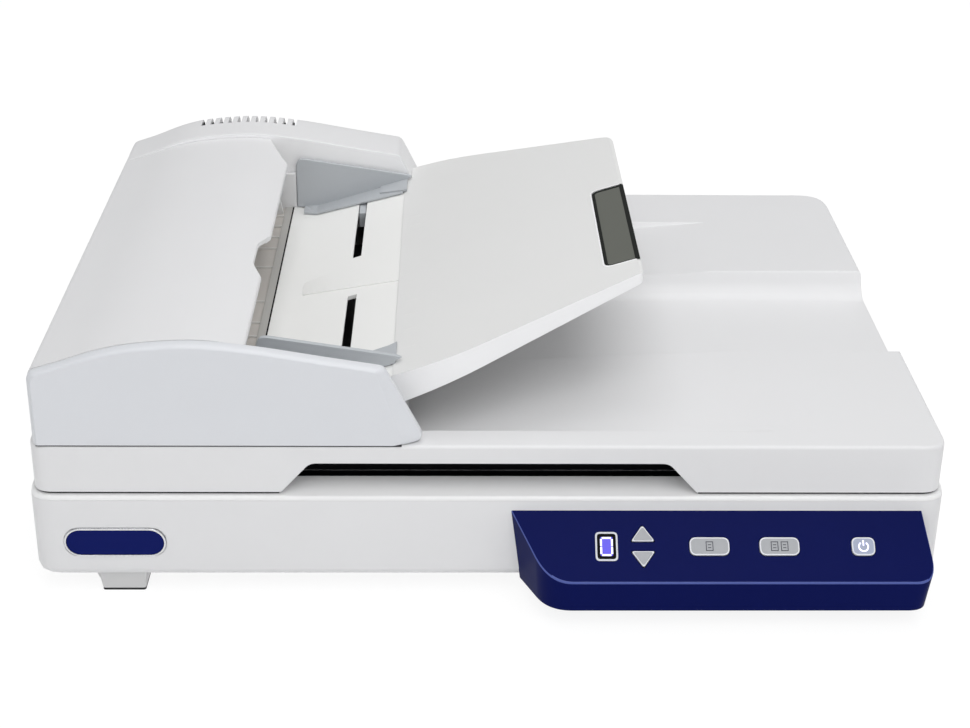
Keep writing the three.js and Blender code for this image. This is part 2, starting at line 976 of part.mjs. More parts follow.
function buildBoard() {
  const bottom = floorTop + boardLift;
  let board = box(boardLeft, boardLeft + boardLength, boardRear - boardDepth, boardRear, bottom, boardTop);
  for (let i = 0; i < 3; i++) {
    const x = boardLeft + (i + 1) * 2 * chipSize;
    const y = boardRear - boardDepth + chipSize;
    const reach = chipSize / 2;
    const chip = box(x - reach, x + reach, y - reach, y + reach, boardTop - gap, boardTop + chipHeight);
    board = join(board, chip);
  }
  add("main_board", board, 0x1f6b3a, 0.6, 0);
  const shell = (x) => {
    const reach = socketWidth / 2;
    return box(x - reach, x + reach, rear - socketDepth, rear, boardTop, boardTop + socketHeight);
  };
  const bore = bar("y", dcX, socketMiddle, rear - socketBoreDepth, rear + overrun, dcBore);
  const pin = bar("y", dcX, socketMiddle, rear - socketBoreDepth - gap, rear - dcPinRecess, dcPin);
  add("dc_socket", join(cut(shell(dcX), bore), pin), 0x1b1b1d, 0.5, 0);
  const opening = usbOpening / 2;
  add(
    "usb_socket",
    cut(
      shell(usbX),
      box(
        usbX - opening,
        usbX + opening,
        rear - socketBoreDepth,
        rear + overrun,
        socketMiddle - opening,
        socketMiddle + opening,
      ),
    ),
    0xb4b7bb,
    0.3,
    0.9,
  );
}

// Control panel: a wedge in front of the base, with its face tilted up
const panelTilt = Math.atan((panelTop - panelLow) / panelDepth);
const panelMatrix = new THREE.Matrix4()
  .makeRotationX(panelTilt)
  .setPosition(0, front - panelDepth / 2, (panelTop + panelLow) / 2);

function panelSolid(inset, back) {
  const drop = inset / Math.cos(panelTilt);
  const rise = Math.tan(panelTilt);
  const edge = inset > 0 ? 0 : panelEdge;
  const side = outline([
    [front + back, panelBottom + inset],
    [front - panelDepth + inset, panelBottom + inset, inset > 0 ? 0 : panelFloorRound],
    [front - panelDepth + inset, panelLow - drop + inset * rise, edge],
    [front + back, panelTop - drop + back * rise],
  ]);
  const plan = outline([
    [panelLeft + inset, front + back],
    [panelLeft + panelLeftRun + inset, front - panelDepth + inset, panelCorner - inset],
    [panelRight - inset, front - panelDepth + inset, panelCorner - inset],
    [panelRight - inset, front + back],
  ]);
  return prism("x", side, panelLeft - overrun, panelRight + overrun).intersect(
    prism("z", plan, panelBottom - overrun, panelTop + 2 * overrun),
  );
}

function arrow(direction, grow) {
  const base = direction * (arrowGap / 2) - direction * grow;
  const tip = direction * (arrowGap / 2 + arrowHeight) + direction * 2 * grow;
  const reach = arrowWidth / 2 + 2 * grow;
  const points = [
    [arrowX - direction * reach, base, arrowRound],
    [arrowX + direction * reach, base, arrowRound],
    [arrowX, tip, arrowRound],
  ];
  return outline(points);
}

const buttons = [
  ["button_up", (grow) => arrow(1, grow), arrowX, arrowGap / 2 + arrowHeight / 3],
  ["button_down", (grow) => arrow(-1, grow), arrowX, -arrowGap / 2 - arrowHeight / 3],
  ["button_single", (grow) => pill(singleX, 0, pillWidth + 2 * grow, pillHeight + 2 * grow), singleX, 0],
  ["button_double", (grow) => pill(doubleX, 0, pillWidth + 2 * grow, pillHeight + 2 * grow), doubleX, 0],
  [
    "button_power",
    (grow) =>
      rectangle(
        powerX - powerWidth / 2 - grow,
        powerX + powerWidth / 2 + grow,
        -powerHeight / 2 - grow,
        powerHeight / 2 + grow,
        powerCorner + grow,
      ),
    powerX,
    0,
  ],
];

function display(grow) {
  const wide = displayWidth / 2 + grow;
  const tall = displayHeight / 2 + grow;
  return rectangle(displayX - wide, displayX + wide, -tall, tall, displayCorner + grow);
}

function buildPanel() {
  const onPanel = (body) => moved(body, [0, 0, 0], panelMatrix);
  const holes = buttons.map(([, shape]) => prism("z", shape(gap), -panelWall - overrun, overrun));
  holes.push(prism("z", display(gap), -panelWall - overrun, overrun));
  const posts = [
    [arrowX, singleX],
    [singleX, doubleX],
    [doubleX, powerX],
  ].map(([x0, x1]) => (x0 + x1) / 2);
  const supports = posts.map((x) =>
    bar("z", x, 0, -panelBoardDepth + gap, -panelWall / 2, panelPost),
  );
  const housing = join(
    cut(cut(panelSolid(0, 0), panelSolid(panelWall, overrun)), ...holes.map(onPanel)),
    ...supports.map(onPanel),
  );
  add("panel_housing", housing, 0x121c5a, 0.35, 0);
  const onSlope = new THREE.Group();
  onSlope.applyMatrix4(panelMatrix);
  model.add(onSlope);
  const hang = (name, body, color, roughness) =>
    onSlope.add(piece(name, body, material(color, roughness)));
  hang(
    "panel_board",
    box(
      panelBoardLeft,
      panelBoardRight,
      -panelBoardDown,
      panelBoardUp,
      -panelBoardDepth - boardThickness,
      -panelBoardDepth,
    ),
    0x1f6b3a,
    0.6,
  );
  hang("display_window", prism("z", display(0), -panelBoardDepth + gap, gap), 0x2b2f63, 0.15);
  buttons.forEach(([name, shape, x, y]) => {
    const flangeTop = -panelWall - gap;
    const flangeBottom = flangeTop - buttonFlangeDepth;
    const stemEnd = -panelBoardDepth + buttonTravel + gap;
    hang(
      name,
      join(
        prism("z", shape(0), flangeTop - gap, capRise),
        prism("z", shape(buttonFlange), flangeBottom, flangeTop),
        bar("z", x, y, stemEnd, flangeBottom + gap, buttonStem / 2, arcSteps * 2),
      ),
      0xc9cbd2,
      0.4,
    );
  });
}

// Lid hinges: a block with two ears on the base, an arm on the lid and a pin through both
function hingeBlock(x) {
  const reach = hingeWidth / 2;
  const foot = hingeZ - hingeFoot;
  const block = join(
    prism(
      "x",
      outline([
        [rear, foot],
        [hingeY - hingeRadius / 2, foot],
        [hingeY + hingeRadius, hingeZ - hingeRadius],
        [hingeY + hingeRadius, hingeZ],
        [hingeY - hingeRadius, hingeZ],
        [hingeY - hingeRadius, hingeZ - hingeRadius / 2],
        [rear, hingeZ - hingeRadius / 2],
      ]),
      x - reach,
      x + reach,
    ),
    bar("x", hingeY, hingeZ, x - reach, x + reach, hingeRadius),
  );
  const room = armWidth / 2 + slack;
  const swing = hingeRadius + 2 * slack;
  return cut(
    block,
    bar("x", hingeY, hingeZ, x - reach - overrun, x + reach + overrun, hingePin + gap),
    bar("x", hingeY, hingeZ, x - room, x + room, swing),
    box(x - room, x + room, rear - overrun, hingeY, hingeZ - hingeRadius, hingeZ + swing),
  );
}

function hingeArm(x) {
  const reach = armWidth / 2;
  const lidRear = rear - lidInset;
  const low = lidBottom + gap;
  const arm = join(
    prism(
      "x",
      outline([
        [lidRear, low],
        [hingeY, hingeZ - hingeRadius / 2],
        [hingeY + hingeRadius / 2, hingeZ + hingeRadius / 2],
        [lidRear + armThickness, hingeZ + 2 * hingeRadius],
        [lidRear + armThickness, low + armHeight],
        [lidRear, low + armHeight],
      ]),
      x - reach,
      x + reach,
    ),
    bar("x", hingeY, hingeZ, x - reach, x + reach, hingeRadius - gap),
  );
  return cut(arm, bar("x", hingeY, hingeZ, x - reach - overrun, x + reach + overrun, hingePin + gap));
}

function buildHinges() {
  [
    ["left", -hingeX],
    ["right", hingeX],
  ].forEach(([side, x]) => {
    add("hinge_block_" + side, hingeBlock(x), 0xd9dade, 0.5, 0);
    add("hinge_arm_" + side, hingeArm(x), 0xd9dade, 0.5, 0);
    add(
      "hinge_pin_" + side,
      bar("x", hingeY, hingeZ, x - hingeWidth / 2, x + hingeWidth / 2, hingePin),
      0xa9acb0,
      0.3,
      1,
    );
  });
}

// Lid, hollow from below: a ramp under the input tray, a trough for lifting out sheets, a finger
// notch at the front and the opening under the feeder
function rampZ(x) {
  return rampLow + ((x - capFootX) * (lidTop - rampLow)) / (rampEnd - capFootX);
}

function rampSpace(wall, skin) {
  const left = windowRight - wall;
  const side = outline([
    [left, rampZ(windowRight) - skin],
    [rampEnd, lidTop - skin],
    [rampEnd, lidTop + overrun],
    [left, lidTop + overrun],
  ]);
  return prism("y", side, rampFront - wall, rampRear + wall);
}

function troughSpace(wall, skin) {
  const end = outline([
    [troughFrontFoot - wall, troughFloor - skin],
    [troughRearFoot + wall, troughFloor - skin],
    [troughRear + wall, lidTop],
    [troughRear + wall, lidTop + overrun],
    [troughFront - wall, lidTop + overrun],
    [troughFront - wall, lidTop],
  ]);
  return prism("x", end, windowRight - wall, right + overrun);
}

function notchSpace(wall) {
  const wide = notchWide / 2 + wall;
  const narrow = notchNarrow / 2 + wall;
  const inner = front + pocketDepth + wall;
  const across = outline([
    [-wide, lidBottom - overrun],
    [wide, lidBottom - overrun],
    [wide, lidBottom],
    [narrow, notchTop + wall],
    [-narrow, notchTop + wall],
    [-wide, lidBottom],
  ]);
  const along = outline([
    [front - overrun, lidBottom - overrun],
    [inner, lidBottom - overrun],
    [inner, linerTop + wall],
    [front + pocketLevel, notchTop + wall],
    [front - overrun, notchTop + wall],
  ]);
  return prism("y", across, front - overrun, inner).intersect(prism("x", along, -wide, wide));
}

// Room for the gear that reaches down through the feeder's floor and the lid
const gearFrom = feedCentre + sidePlateHalf + sidePlateWall + gearStart;
const gearTo = gearFrom + gearWidth;
const turnGearReach = (turnTeeth / 2 + tipShare) * feederModule + 2 * slack;

function gearRoom() {
  return box(
    turnX - turnGearReach,
    turnX + turnGearReach,
    gearFrom - gearStart - slack,
    gearTo + 2 * slack,
    turnZ - turnGearReach,
    turnZ,
  );
}

// Places of the liner's posts, as shares of half the base's width and depth
const linerPostShares = [
  [-0.945, -0.79],
  [-0.945, 0.79],
  [0.945, -0.85],
  [0.945, 0.85],
  [0.24, 0.905],
  [-0.4, 0.905],
];

function lidShell() {
  const shell = cut(
    prism("z", cornered(lidInset), lidBottom - 2 * lidRound, lidTop, lidRound),
    box(left, right, front, rear, lidBottom - 3 * lidRound, lidBottom),
    rampSpace(0, 0),
    troughSpace(0, 0),
  );
  const hollow = cut(
    prism("z", cornered(lidInset + lidWall), lidBottom - overrun, lidTop - lidSkin),
    rampSpace(lidWall, lidSkin),
    troughSpace(lidWall, lidSkin),
    notchSpace(lidWall),
  );
  const posts = linerPostShares.map(([x, y]) => [x * right, y * rear]);
  posts.push([notchWide / 2 + lidWall + 4 * linerPost, front + pocketDepth / 2]);
  const columns = posts.map(([x, y]) => bar("z", x, y, linerTop, lidTop - lidSkin / 2, linerPost));
  const open = box(
    windowLeft,
    windowRight,
    feedCentre - windowHalf,
    feedCentre + windowHalf,
    lidBottom - overrun,
    lidTop + overrun,
  );
  return cut(join(cut(shell, hollow), ...columns), notchSpace(0), open, gearRoom());
}

function liner() {
  const notch = notchWide / 2 + lidWall + gap;
  return cut(
    prism("z", cornered(lidInset + lidWall + gap), linerTop - linerThickness, linerTop),
    box(-notch, notch, front, front + pocketDepth + lidWall + gap, lidBottom, lidTop),
    box(
      linerSlotLeft,
      linerSlotRight,
      feedCentre - windowHalf,
      feedCentre + windowHalf,
      lidBottom,
      lidTop,
    ),
  );
}

function buildLid() {
  const white = 0xe2e2e4;
  add("lid_top", lidShell(), white, 0.45);
  add("lid_liner", liner(), 0xd5d6d8, 0.6);
  const side = platenWidth / 2 - padClear;
  add(
    "backing_pad",
    box(
      platenLeft + padClear,
      platenRight - padClear,
      -side,
      side,
      glassTop + gap,
      linerTop - linerThickness,
    ),
    0xf2f2f0,
    0.9,
  );
}

// The feeder's crest line, seen from the front: shares of its length and of its height
const crestShares = [
  [0, 0.673],
  [0.089, 0.764],
  [0.198, 0.9],
  [0.3125, 0.977],
  [0.4635, 1],
  [0.625, 0.957],
  [0.807, 0.872],
  [1, 0.768],
];
const crestSteps = 16;
const crest = new THREE.SplineCurve(
  crestShares.map(
    ([x, z]) =>
      new THREE.Vector2(
        feederLeft + x * (capShoulderX - feederLeft),
        feederBase + z * (crestZ - feederBase),
      ),
  ),
);

function crestLine(inset) {
  const points = [];
  for (let i = 0; i <= crestSteps; i++) {
    const place = crest.getPoint(i / crestSteps);
    const along = crest.getTangent(i / crestSteps);
    points.push([place.x + along.y * inset, place.y - along.x * inset]);
  }
  return points;
}

const coverSlope = crest.getTangent(0);
const coverHingeX = feederLeft + coverRollRadius;
const coverHingeZ =
  crest.getPoint(0).y + (coverRollRadius * (coverSlope.y - 1)) / coverSlope.x;

// End caps of the feeder
function capShape(inset) {
  const low = feederBase - 2 * capRound;
  const line = crestLine(inset);
  const heel = capFootX - capHeel - inset;
  const [first, ...others] = line.slice(0, -1);
  return outline([
    [feederLeft + inset, low],
    [feederLeft + inset, first[1], inset > 0 ? 0 : coverRollRadius],
    ...others,
    [...line[crestSteps], capShoulderRound],
    [capFootX - inset, capFootZ, capFootRound],
    [heel, feederBase],
    [heel, low],
  ]);
}

const capFront = front + lidInset;
const capRear = rear - lidInset;

function cap(from, to, hollowFrom, hollowTo, faceFrom, faceTo) {
  const wide = [feederLeft - overrun, capFootX + overrun];
  const solidCap = cut(
    prism("y", capShape(0), from, to, capRound),
    box(...wide, faceFrom, faceTo, feederBase - 3 * capRound, crestZ + overrun),
    box(...wide, from - overrun, to + overrun, feederBase - 3 * capRound, feederBase),
  );
  return cut(solidCap, prism("y", capShape(feederWall), hollowFrom, hollowTo));
}

function frontCap() {
  const shell = cap(
    capFront,
    feederFront + 2 * capRound,
    capFront + feederWall,
    feederFront + overrun,
    feederFront,
    feederFront + 3 * capRound,
  );
  return cut(
    join(
      shell,
      bar("y", coverHingeX, coverHingeZ, capFront + feederWall, feederFront, coverRollRadius - gap),
    ),
    bar(
      "y",
      coverHingeX,
      coverHingeZ,
      feederFront - coverPinLength - gap,
      feederFront + overrun,
      coverPinRadius + gap,
    ),
  );
}

const feederPinionX =
  turnX +
  ((turnTeeth + feederPinionTeeth) * feederModule * Math.cos(radians(feederMotorAngle))) / 2;
const feederPinionZ =
  turnZ +
  ((turnTeeth + feederPinionTeeth) * feederModule * Math.sin(radians(feederMotorAngle))) / 2;

function rearCap() {
  let shell = cap(
    feederRear - 2 * capRound,
    capRear,
    feederRear + feederWall,
    capRear - feederWall,
    feederRear - 3 * capRound,
    feederRear,
  );
  shell = cut(
    join(
      shell,
      bar(
        "y",
        coverHingeX,
        coverHingeZ,
        feederRear,
        feederRear + 2 * coverPinLength + feederWall,
        coverRollRadius - gap,
      ),
    ),
    bar(
      "y",
      coverHingeX,
      coverHingeZ,
      feederRear - overrun,
      feederRear + coverPinLength + gap,
      coverPinRadius + gap,
    ),
    bar(
      "y",
      feederPinionX,
      feederPinionZ,
      feederRear - overrun,
      feederRear + feederWall + gap,
      motorShaft + slack,
    ),
  );
  for (let i = 0; i < ventCount; i++) {
    const x = ventFirst + i * ventPitch;
    const reach = ventWidth / 2;
    shell = cut(
      shell,
      box(
        x - reach,
        x + reach,
        capRear - ventInset,
        capRear + overrun,
        crestZ - ventDepth,
        crestZ + overrun,
      ),
    );
  }
  return shell;
}

// Hinged cover over the rollers
function cover() {
  const from = feederFront + coverGap;
  const to = feederRear - coverGap;
  const flat = (points) => points.filter(([x]) => x > coverHingeX && x < coverCreaseX - coverSkin);
  const lipX = coverEdgeX - coverSkin;
  const rise = (coverCreaseZ - coverEdgeZ) / (coverEdgeX - coverCreaseX);
  const band = outline([
    [coverHingeX, coverHingeZ],
    [
      coverHingeX - coverRollRadius * coverSlope.y,
      coverHingeZ + coverRollRadius * coverSlope.x,
    ],
    ...flat(crestLine(0)),
    [coverCreaseX, coverCreaseZ],
    [coverEdgeX, coverEdgeZ],
    [coverEdgeX, coverEdgeZ - coverLip],
    [lipX, coverEdgeZ - coverLip],
    [lipX, coverEdgeZ - coverSkin + coverSkin * rise],
    [coverCreaseX, coverCreaseZ - coverSkin],
    ...flat(crestLine(coverSkin)).reverse(),
  ]);
  const notch = outline([
    [coverEdgeX + overrun, coverNotchCentre - coverNotchWide / 2],
    [coverEdgeX + overrun, coverNotchCentre + coverNotchWide / 2],
    [coverEdgeX, coverNotchCentre + coverNotchWide / 2],
    [coverEdgeX - coverNotchDepth, coverNotchCentre + coverNotchNarrow / 2],
    [coverEdgeX - coverNotchDepth, coverNotchCentre - coverNotchNarrow / 2],
    [coverEdgeX, coverNotchCentre - coverNotchWide / 2],
  ]);
  return join(
    cut(prism("y", band, from, to), prism("z", notch, feederBase, crestZ + overrun)),
    bar("y", coverHingeX, coverHingeZ, from, to, coverRollRadius),
    bar("y", coverHingeX, coverHingeZ, from - coverPinLength, to + coverPinLength, coverPinRadius),
  );
}

// The sloping plane of the tray, and the bed a little under it
function planeZ(x) {
  return bedLevelZ + Math.tan(radians(trayPitch)) * (x - bedLevel);
}

function bedZ(x) {
  return planeZ(Math.max(x, bedLevel)) - bedDrop;
}

// Shafts of the feeder, as [x, z]
const shaftGap = ((turnTeeth + feedTeeth) * feederModule) / 2;
const feedX = turnX + shaftGap * Math.cos(radians(feedAngle));
const feedZ = turnZ + shaftGap * Math.sin(radians(feedAngle));
const pickZ = pathFloorZ + pathRib + nip + pickRadius;
const readZ = glassTop + nip + readRadius;
const chuteSlope = (chuteHigh - chuteBendZ) / (chuteEnd - chuteBend);
const exitZ = chuteHigh - (chuteEnd - exitX) * chuteSlope + nip + exitRadius;
const shafts = [
  [turnX, turnZ],
  [feedX, feedZ],
  [pickX, pickZ],
  [readX, readZ],
  [exitX, exitZ],
];

// Feeder frame: the floor ring, its left wall, two side plates and the wall under the tray
function feederFrame() {
  const ringTop = feederBase + feederWall;
  const ringFront = feederFront + coverGap;
  const ringRear = feederRear - coverGap;
  const crossLeft = trayStart + traySkirt + gap;
  const crossRight = crossLeft + feederWall;
  const ringRight = crossRight + feederWall + gap;
  const wallTop = coverHingeZ - coverRollRadius - gap;
  const plateTop = crestLine(sidePlateDrop).filter(
    ([x]) => x > sidePlateLeft + 2 * coverRollRadius && x < sidePlateStep,
  );
  const under = (x) => bedZ(x) - bedThickness - gap;
  const plate = outline([
    [sidePlateLeft, feederBase],
    [readTabLeft, feederBase],
    [readTabLeft, sidePlateLow],
    [readTabRight, sidePlateLow],
    [readTabRight, feederBase],
    [exitX - exitTab, feederBase],
    [exitX - exitTab, exitTabLow],
    [sidePlateRight, exitTabLow],
    [sidePlateRight, under(sidePlateRight)],
    [bedLevel, under(bedLevel)],
    [sidePlateStep, under(bedLevel)],
    ...plateTop.reverse(),
    [sidePlateLeft, wallTop - feederWall],
  ]);
  let frame = join(
    box(feederLeft, ringRight, ringFront, ringRear, feederBase, ringTop),
    box(feederLeft, feederLeft + feederWall, ringFront, ringRear, feederBase, wallTop),
  );
  frame = cut(
    frame,
    box(
      windowLeft,
      crossLeft,
      feedCentre - sidePlateHalf,
      feedCentre + sidePlateHalf,
      feederBase - overrun,
      ringTop + overrun,
    ),
    gearRoom(),
  );
  frame = join(
    frame,
    prism("y", plate, feedCentre - sidePlateHalf - sidePlateWall, feedCentre - sidePlateHalf),
    prism("y", plate, feedCentre + sidePlateHalf, feedCentre + sidePlateHalf + sidePlateWall),
    prism(
      "y",
      outline([
        [crossLeft, feederBase],
        [crossRight, feederBase],
        [crossRight, planeZ(crossLeft) - traySkin - 2 * gap],
        [crossLeft, planeZ(crossLeft) - traySkin - 2 * gap],
      ]),
      -trayHalf + traySkirt + gap,
      bedRear - gap,
    ),
  );
  const reach = sidePlateHalf + sidePlateWall + overrun;
  return cut(
    frame,
    ...shafts.map(([x, z]) => bar("y", x, z, feedCentre - reach, feedCentre + reach, shaftRadius + gap)),
  );
}

// Bed under the paper, with a raised tongue, two slots for the guides and the pinion's axle
const plateFrom = feedCentre - sidePlateHalf;
const plateTo = feedCentre + sidePlateHalf;
const rackBottom = rackTop - rackThickness;

function bed() {
  const bottom = (x) => bedZ(x) - bedThickness;
  const plate = prism(
    "y",
    outline([
      [bedStart, bottom(bedStart)],
      [bedLevel, bottom(bedLevel)],
      [bedEnd, bottom(bedEnd)],
      [bedEnd, bedZ(bedEnd)],
      [bedLevel, bedZ(bedLevel)],
      [bedStart, bedZ(bedStart)],
    ]),
    bedFront,
    bedRear,
  );
  const tongue = prism(
    "y",
    outline([
      [bedLevel, bedZ(bedLevel) - bedThickness / 2],
      [bedEnd, bedZ(bedEnd) - bedThickness / 2],
      [bedEnd, planeZ(bedEnd)],
      [bedLevel, planeZ(bedLevel)],
    ]),
    feedCentre - tongueEnd,
    feedCentre + tongueEnd,
  ).intersect(
    prism(
      "z",
      outline([
        [bedLevel, feedCentre - tongueStart],
        [bedEnd, feedCentre - tongueEnd],
        [bedEnd, feedCentre + tongueEnd],
        [bedLevel, feedCentre + tongueStart],
      ]),
      feederBase,
      crestZ,
    ),
  );
  const slots = [-1, 1].map((side) =>
    box(
      slotX - slotWidth / 2,
      slotX + slotWidth / 2,
      feedCentre + Math.min(side * slotInner, side * slotOuter),
      feedCentre + Math.max(side * slotInner, side * slotOuter),
      feederBase,
      crestZ,
    ),
  );
  const seat = bedZ(slotX) - bedThickness / 2;
  return join(
    cut(join(plate, tongue), ...slots),
    bar("z", slotX, feedCentre, rackTop + gap, seat, 2 * pinionAxle),
    bar("z", slotX, feedCentre, rackBottom - gap, seat, pinionAxle),
  );
}

// Ribbed floor of the paper path
function pathGuide() {
  const end = bedStart - gap;
  let floor = box(
    pathStart,
    end,
    plateFrom + gap,
    plateTo - gap,
    pathFloorZ - pathThickness,
    pathFloorZ,
  );
  ribSpreadShares.forEach((share) => {
    const y = feedCentre + share * sidePlateHalf;
    floor = join(
      floor,
      box(
        pathStart,
        end,
        y - pathRibWidth / 2,
        y + pathRibWidth / 2,
        pathFloorZ - pathThickness / 2,
        pathFloorZ + pathRib,
      ),
    );
  });
  return floor;
}

// Input tray with a channel for its extension
const slopeShare = Math.cos(radians(trayPitch));
const extensionTop = traySkin + gap;
const extensionBottom = extensionTop + extensionThickness;
const extensionRun = extensionLength * slopeShare;

// A slab parallel to the tray's plane, from one depth under it to another
function slab(x0, x1, y0, y1, top, bottom) {
  return prism(
    "y",
    outline([
      [x0, planeZ(x0) - bottom / slopeShare],
      [x1, planeZ(x1) - bottom / slopeShare],
      [x1, planeZ(x1) - top / slopeShare],
      [x0, planeZ(x0) - top / slopeShare],
    ]),
    y0,
    y1,
  );
}

function trayPlan(inset) {
  return outline([
    [trayStart + inset, -trayHalf + inset],
    [trayCorner, -trayHalf + inset],
    [trayTip - inset, -trayTipHalf + inset, trayTipRound - inset],
    [trayTip - inset, trayTipHalf - inset, trayTipRound - inset],
    [trayCorner, trayHalf - inset],
    [trayStart + inset, trayHalf - inset],
  ]);
}

function gripPlan(grow, reach) {
  return outline([
    [trayTip - extensionGrip - grow, extensionFront - grow, extensionCorner],
    [reach, extensionFront - grow],
    [reach, extensionRear + grow],
    [trayTip - extensionGrip - grow, extensionRear + grow, extensionCorner],
  ]);
}

function tray() {
  const low = planeZ(trayStart) - 2 * trayDeep;
  const high = planeZ(trayTip) + overrun;
  const side = prism(
    "y",
    outline([
      [trayStart, planeZ(trayStart) - trayDeep],
      [trayTip, planeZ(trayTip) - trayShallow],
      [trayTip, planeZ(trayTip)],
      [trayStart, planeZ(trayStart)],
    ]),
    -trayHalf,
    trayHalf,
  );
  const body = side.intersect(prism("z", trayPlan(0), low, high));
  const hollow = prism("z", trayPlan(traySkirt), low, high).intersect(
    slab(trayStart, trayTip, -trayHalf, trayHalf, traySkin, 2 * trayDeep),
  );
  const channelStart = trayTip - extensionRun - slack;
  const channel = slab(
    channelStart - extensionWall,
    trayTip,
    extensionFront - gap - extensionWall,
    extensionRear + gap + extensionWall,
    traySkin / 2,
    trayShallow * slopeShare,
  ).intersect(prism("z", trayPlan(0), low, high));
  return cut(
    join(cut(body, hollow), channel),
    slab(
      channelStart,
      trayTip + overrun,
      extensionFront - gap,
      extensionRear + gap,
      traySkin,
      extensionBottom + gap,
    ),
    prism("z", gripPlan(gap, trayTip + overrun), low, high).intersect(
      slab(
        channelStart,
        trayTip + overrun,
        -trayHalf,
        trayHalf,
        -overrun,
        extensionBottom + gap,
      ),
    ),
    prism("y", capShape(-2 * gap), feederRear - 2 * gap, capRear),
  );
}

function extension() {
  const plate = slab(
    trayTip - extensionRun,
    trayTip,
    extensionFront,
    extensionRear,
    extensionTop,
    extensionBottom,
  );
  const grip = slab(
    trayTip - extensionGrip,
    trayTip,
    extensionFront,
    extensionRear,
    gap,
    extensionTop + extensionThickness / 2,
  ).intersect(prism("z", gripPlan(0, trayTip), feederBase, crestZ + planeZ(trayTip)));
  return join(plate, grip);
}

// Paper guides. direction is 1 for the rear guide and -1 for the front one; each has a rack on one
// side of the pinion between them
const rackPitch = Math.PI * rackModule;
const pinionRadius = (pinionTeeth * rackModule) / 2;

function rackOutline(direction) {
  const across = (share) => slotX + direction * (pinionRadius - share * rackModule);
  const back = across(-rootShare) + direction * rackBack;
  const at = (x, along) => [x, feedCentre + direction * along];
  const points = [at(back, -rackTail), at(across(-rootShare), -rackTail)];
  for (let along = rackPitch / 2; along < guideTravel + rackTail; along += rackPitch) {
    points.push(
      at(across(-rootShare), along - (rootThicknessShare * rackPitch) / 2),
      at(across(tipShare), along - (tipThicknessShare * rackPitch) / 2),
      at(across(tipShare), along + (tipThicknessShare * rackPitch) / 2),
      at(across(-rootShare), along + (rootThicknessShare * rackPitch) / 2),
    );
  }
  points.splice(
    2,
    0,
    at(across(-rootShare), (-(1 + rootThicknessShare) * rackPitch) / 2),
    at(across(tipShare), (-(1 + tipThicknessShare) * rackPitch) / 2),
    at(across(tipShare), (-(1 - tipThicknessShare) * rackPitch) / 2),
    at(across(-rootShare), (-(1 - rootThicknessShare) * rackPitch) / 2),
  );
  points.push(at(across(-rootShare), neckInner + weldOverlap), at(back, neckInner + weldOverlap));
  return outline(points);
}

function guide(direction) {
  const lift = coverGap;
  const sole = (x) => bedZ(x) + lift;
  const span = (from, to) => {
    const ends = [feedCentre + direction * from, feedCentre + direction * to];
    return [Math.min(...ends), Math.max(...ends)];
  };
  const fin = outline([
    [guideStart, sole(guideStart)],
    [bedLevel, sole(bedLevel)],
    [guideEnd, sole(guideEnd)],
    [guideEnd, planeZ(guideEnd) + guideLow / 3],
    [guideEnd + guidePoint, planeZ(guideEnd + guidePoint) + guideLow / 2],
    [guideEnd, planeZ(guideEnd) + guideLow],
    [guideStart, bedZ(guideStart) + guideTall, guideTopRound],
  ]);
  const wall = prism("y", fin, ...span(guideHalf, guideHalf + guideWall));
  const footSide = outline([
    [guideStart, sole(guideStart)],
    [bedLevel, sole(bedLevel)],
    [guideEnd, sole(guideEnd)],
    [guideEnd, sole(guideEnd) + guideFootThickness],
    [bedLevel, sole(bedLevel) + guideFootThickness],
    [guideStart, sole(guideStart) + guideFootThickness],
  ]);
  const footEdge = (reach) => feedCentre + direction * (guideHalf - reach);
  const footPlan = outline([
    [guideStart, footEdge(-weldOverlap)],
    [guideEnd, footEdge(-weldOverlap)],
    [guideEnd, footEdge(guideFoot)],
    [guideStart, footEdge(guideFootNarrow)],
  ]);
  const foot = prism("y", footSide, ...span(guideHalf - guideFoot, guideHalf + weldOverlap)).intersect(
    prism("z", footPlan, feederBase, crestZ),
  );
  const neckLeft = slotX - neckWidth / 2;
  const neckRight = slotX + neckWidth / 2;
  const neckTop = bedZ(neckLeft) - lift;
  const linkInner = guideHalf - guideFootNarrow;
  const rackBackX = slotX + direction * (pinionRadius + rootShare * rackModule + rackBack);
  return join(
    wall,
    foot,
    box(neckLeft, neckRight, ...span(neckInner, neckInner + neckLength), rackBottom, neckTop),
    box(
      neckLeft,
      neckRight,
      ...span(linkInner - neckWidth / 2, neckInner + neckLength),
      rackBottom,
      sole(neckLeft) + guideFootThickness / 2,
    ),
    box(
      Math.min(neckLeft, rackBackX),
      Math.max(neckRight, rackBackX),
      ...span(neckInner, neckInner + neckLength),
      rackBottom,
      rackTop,
    ),
    prism("z", rackOutline(direction), rackBottom, rackTop),
  );
}

// A shaft with rolls of one radius, centred at shares of the spread, and a gear at its rear end
function roller([x, z], radius, width, spread, places, teeth = 0, phase = 0) {
  const reach = sidePlateHalf + sidePlateWall + shaftEnd;
  let body = bar(
    "y",
    x,
    z,
    feedCentre - reach,
    teeth > 0 ? gearTo : feedCentre + reach,
    shaftRadius,
  );
  places.forEach((place) => {
    const middle = feedCentre + place * spread;
    body = join(body, bar("y", x, z, middle - width / 2, middle + width / 2, radius, rollSides));
  });
  return teeth > 0 ? join(body, gear("y", x, z, gearFrom, gearTo, teeth, feederModule, phase, 0)) : body;
}

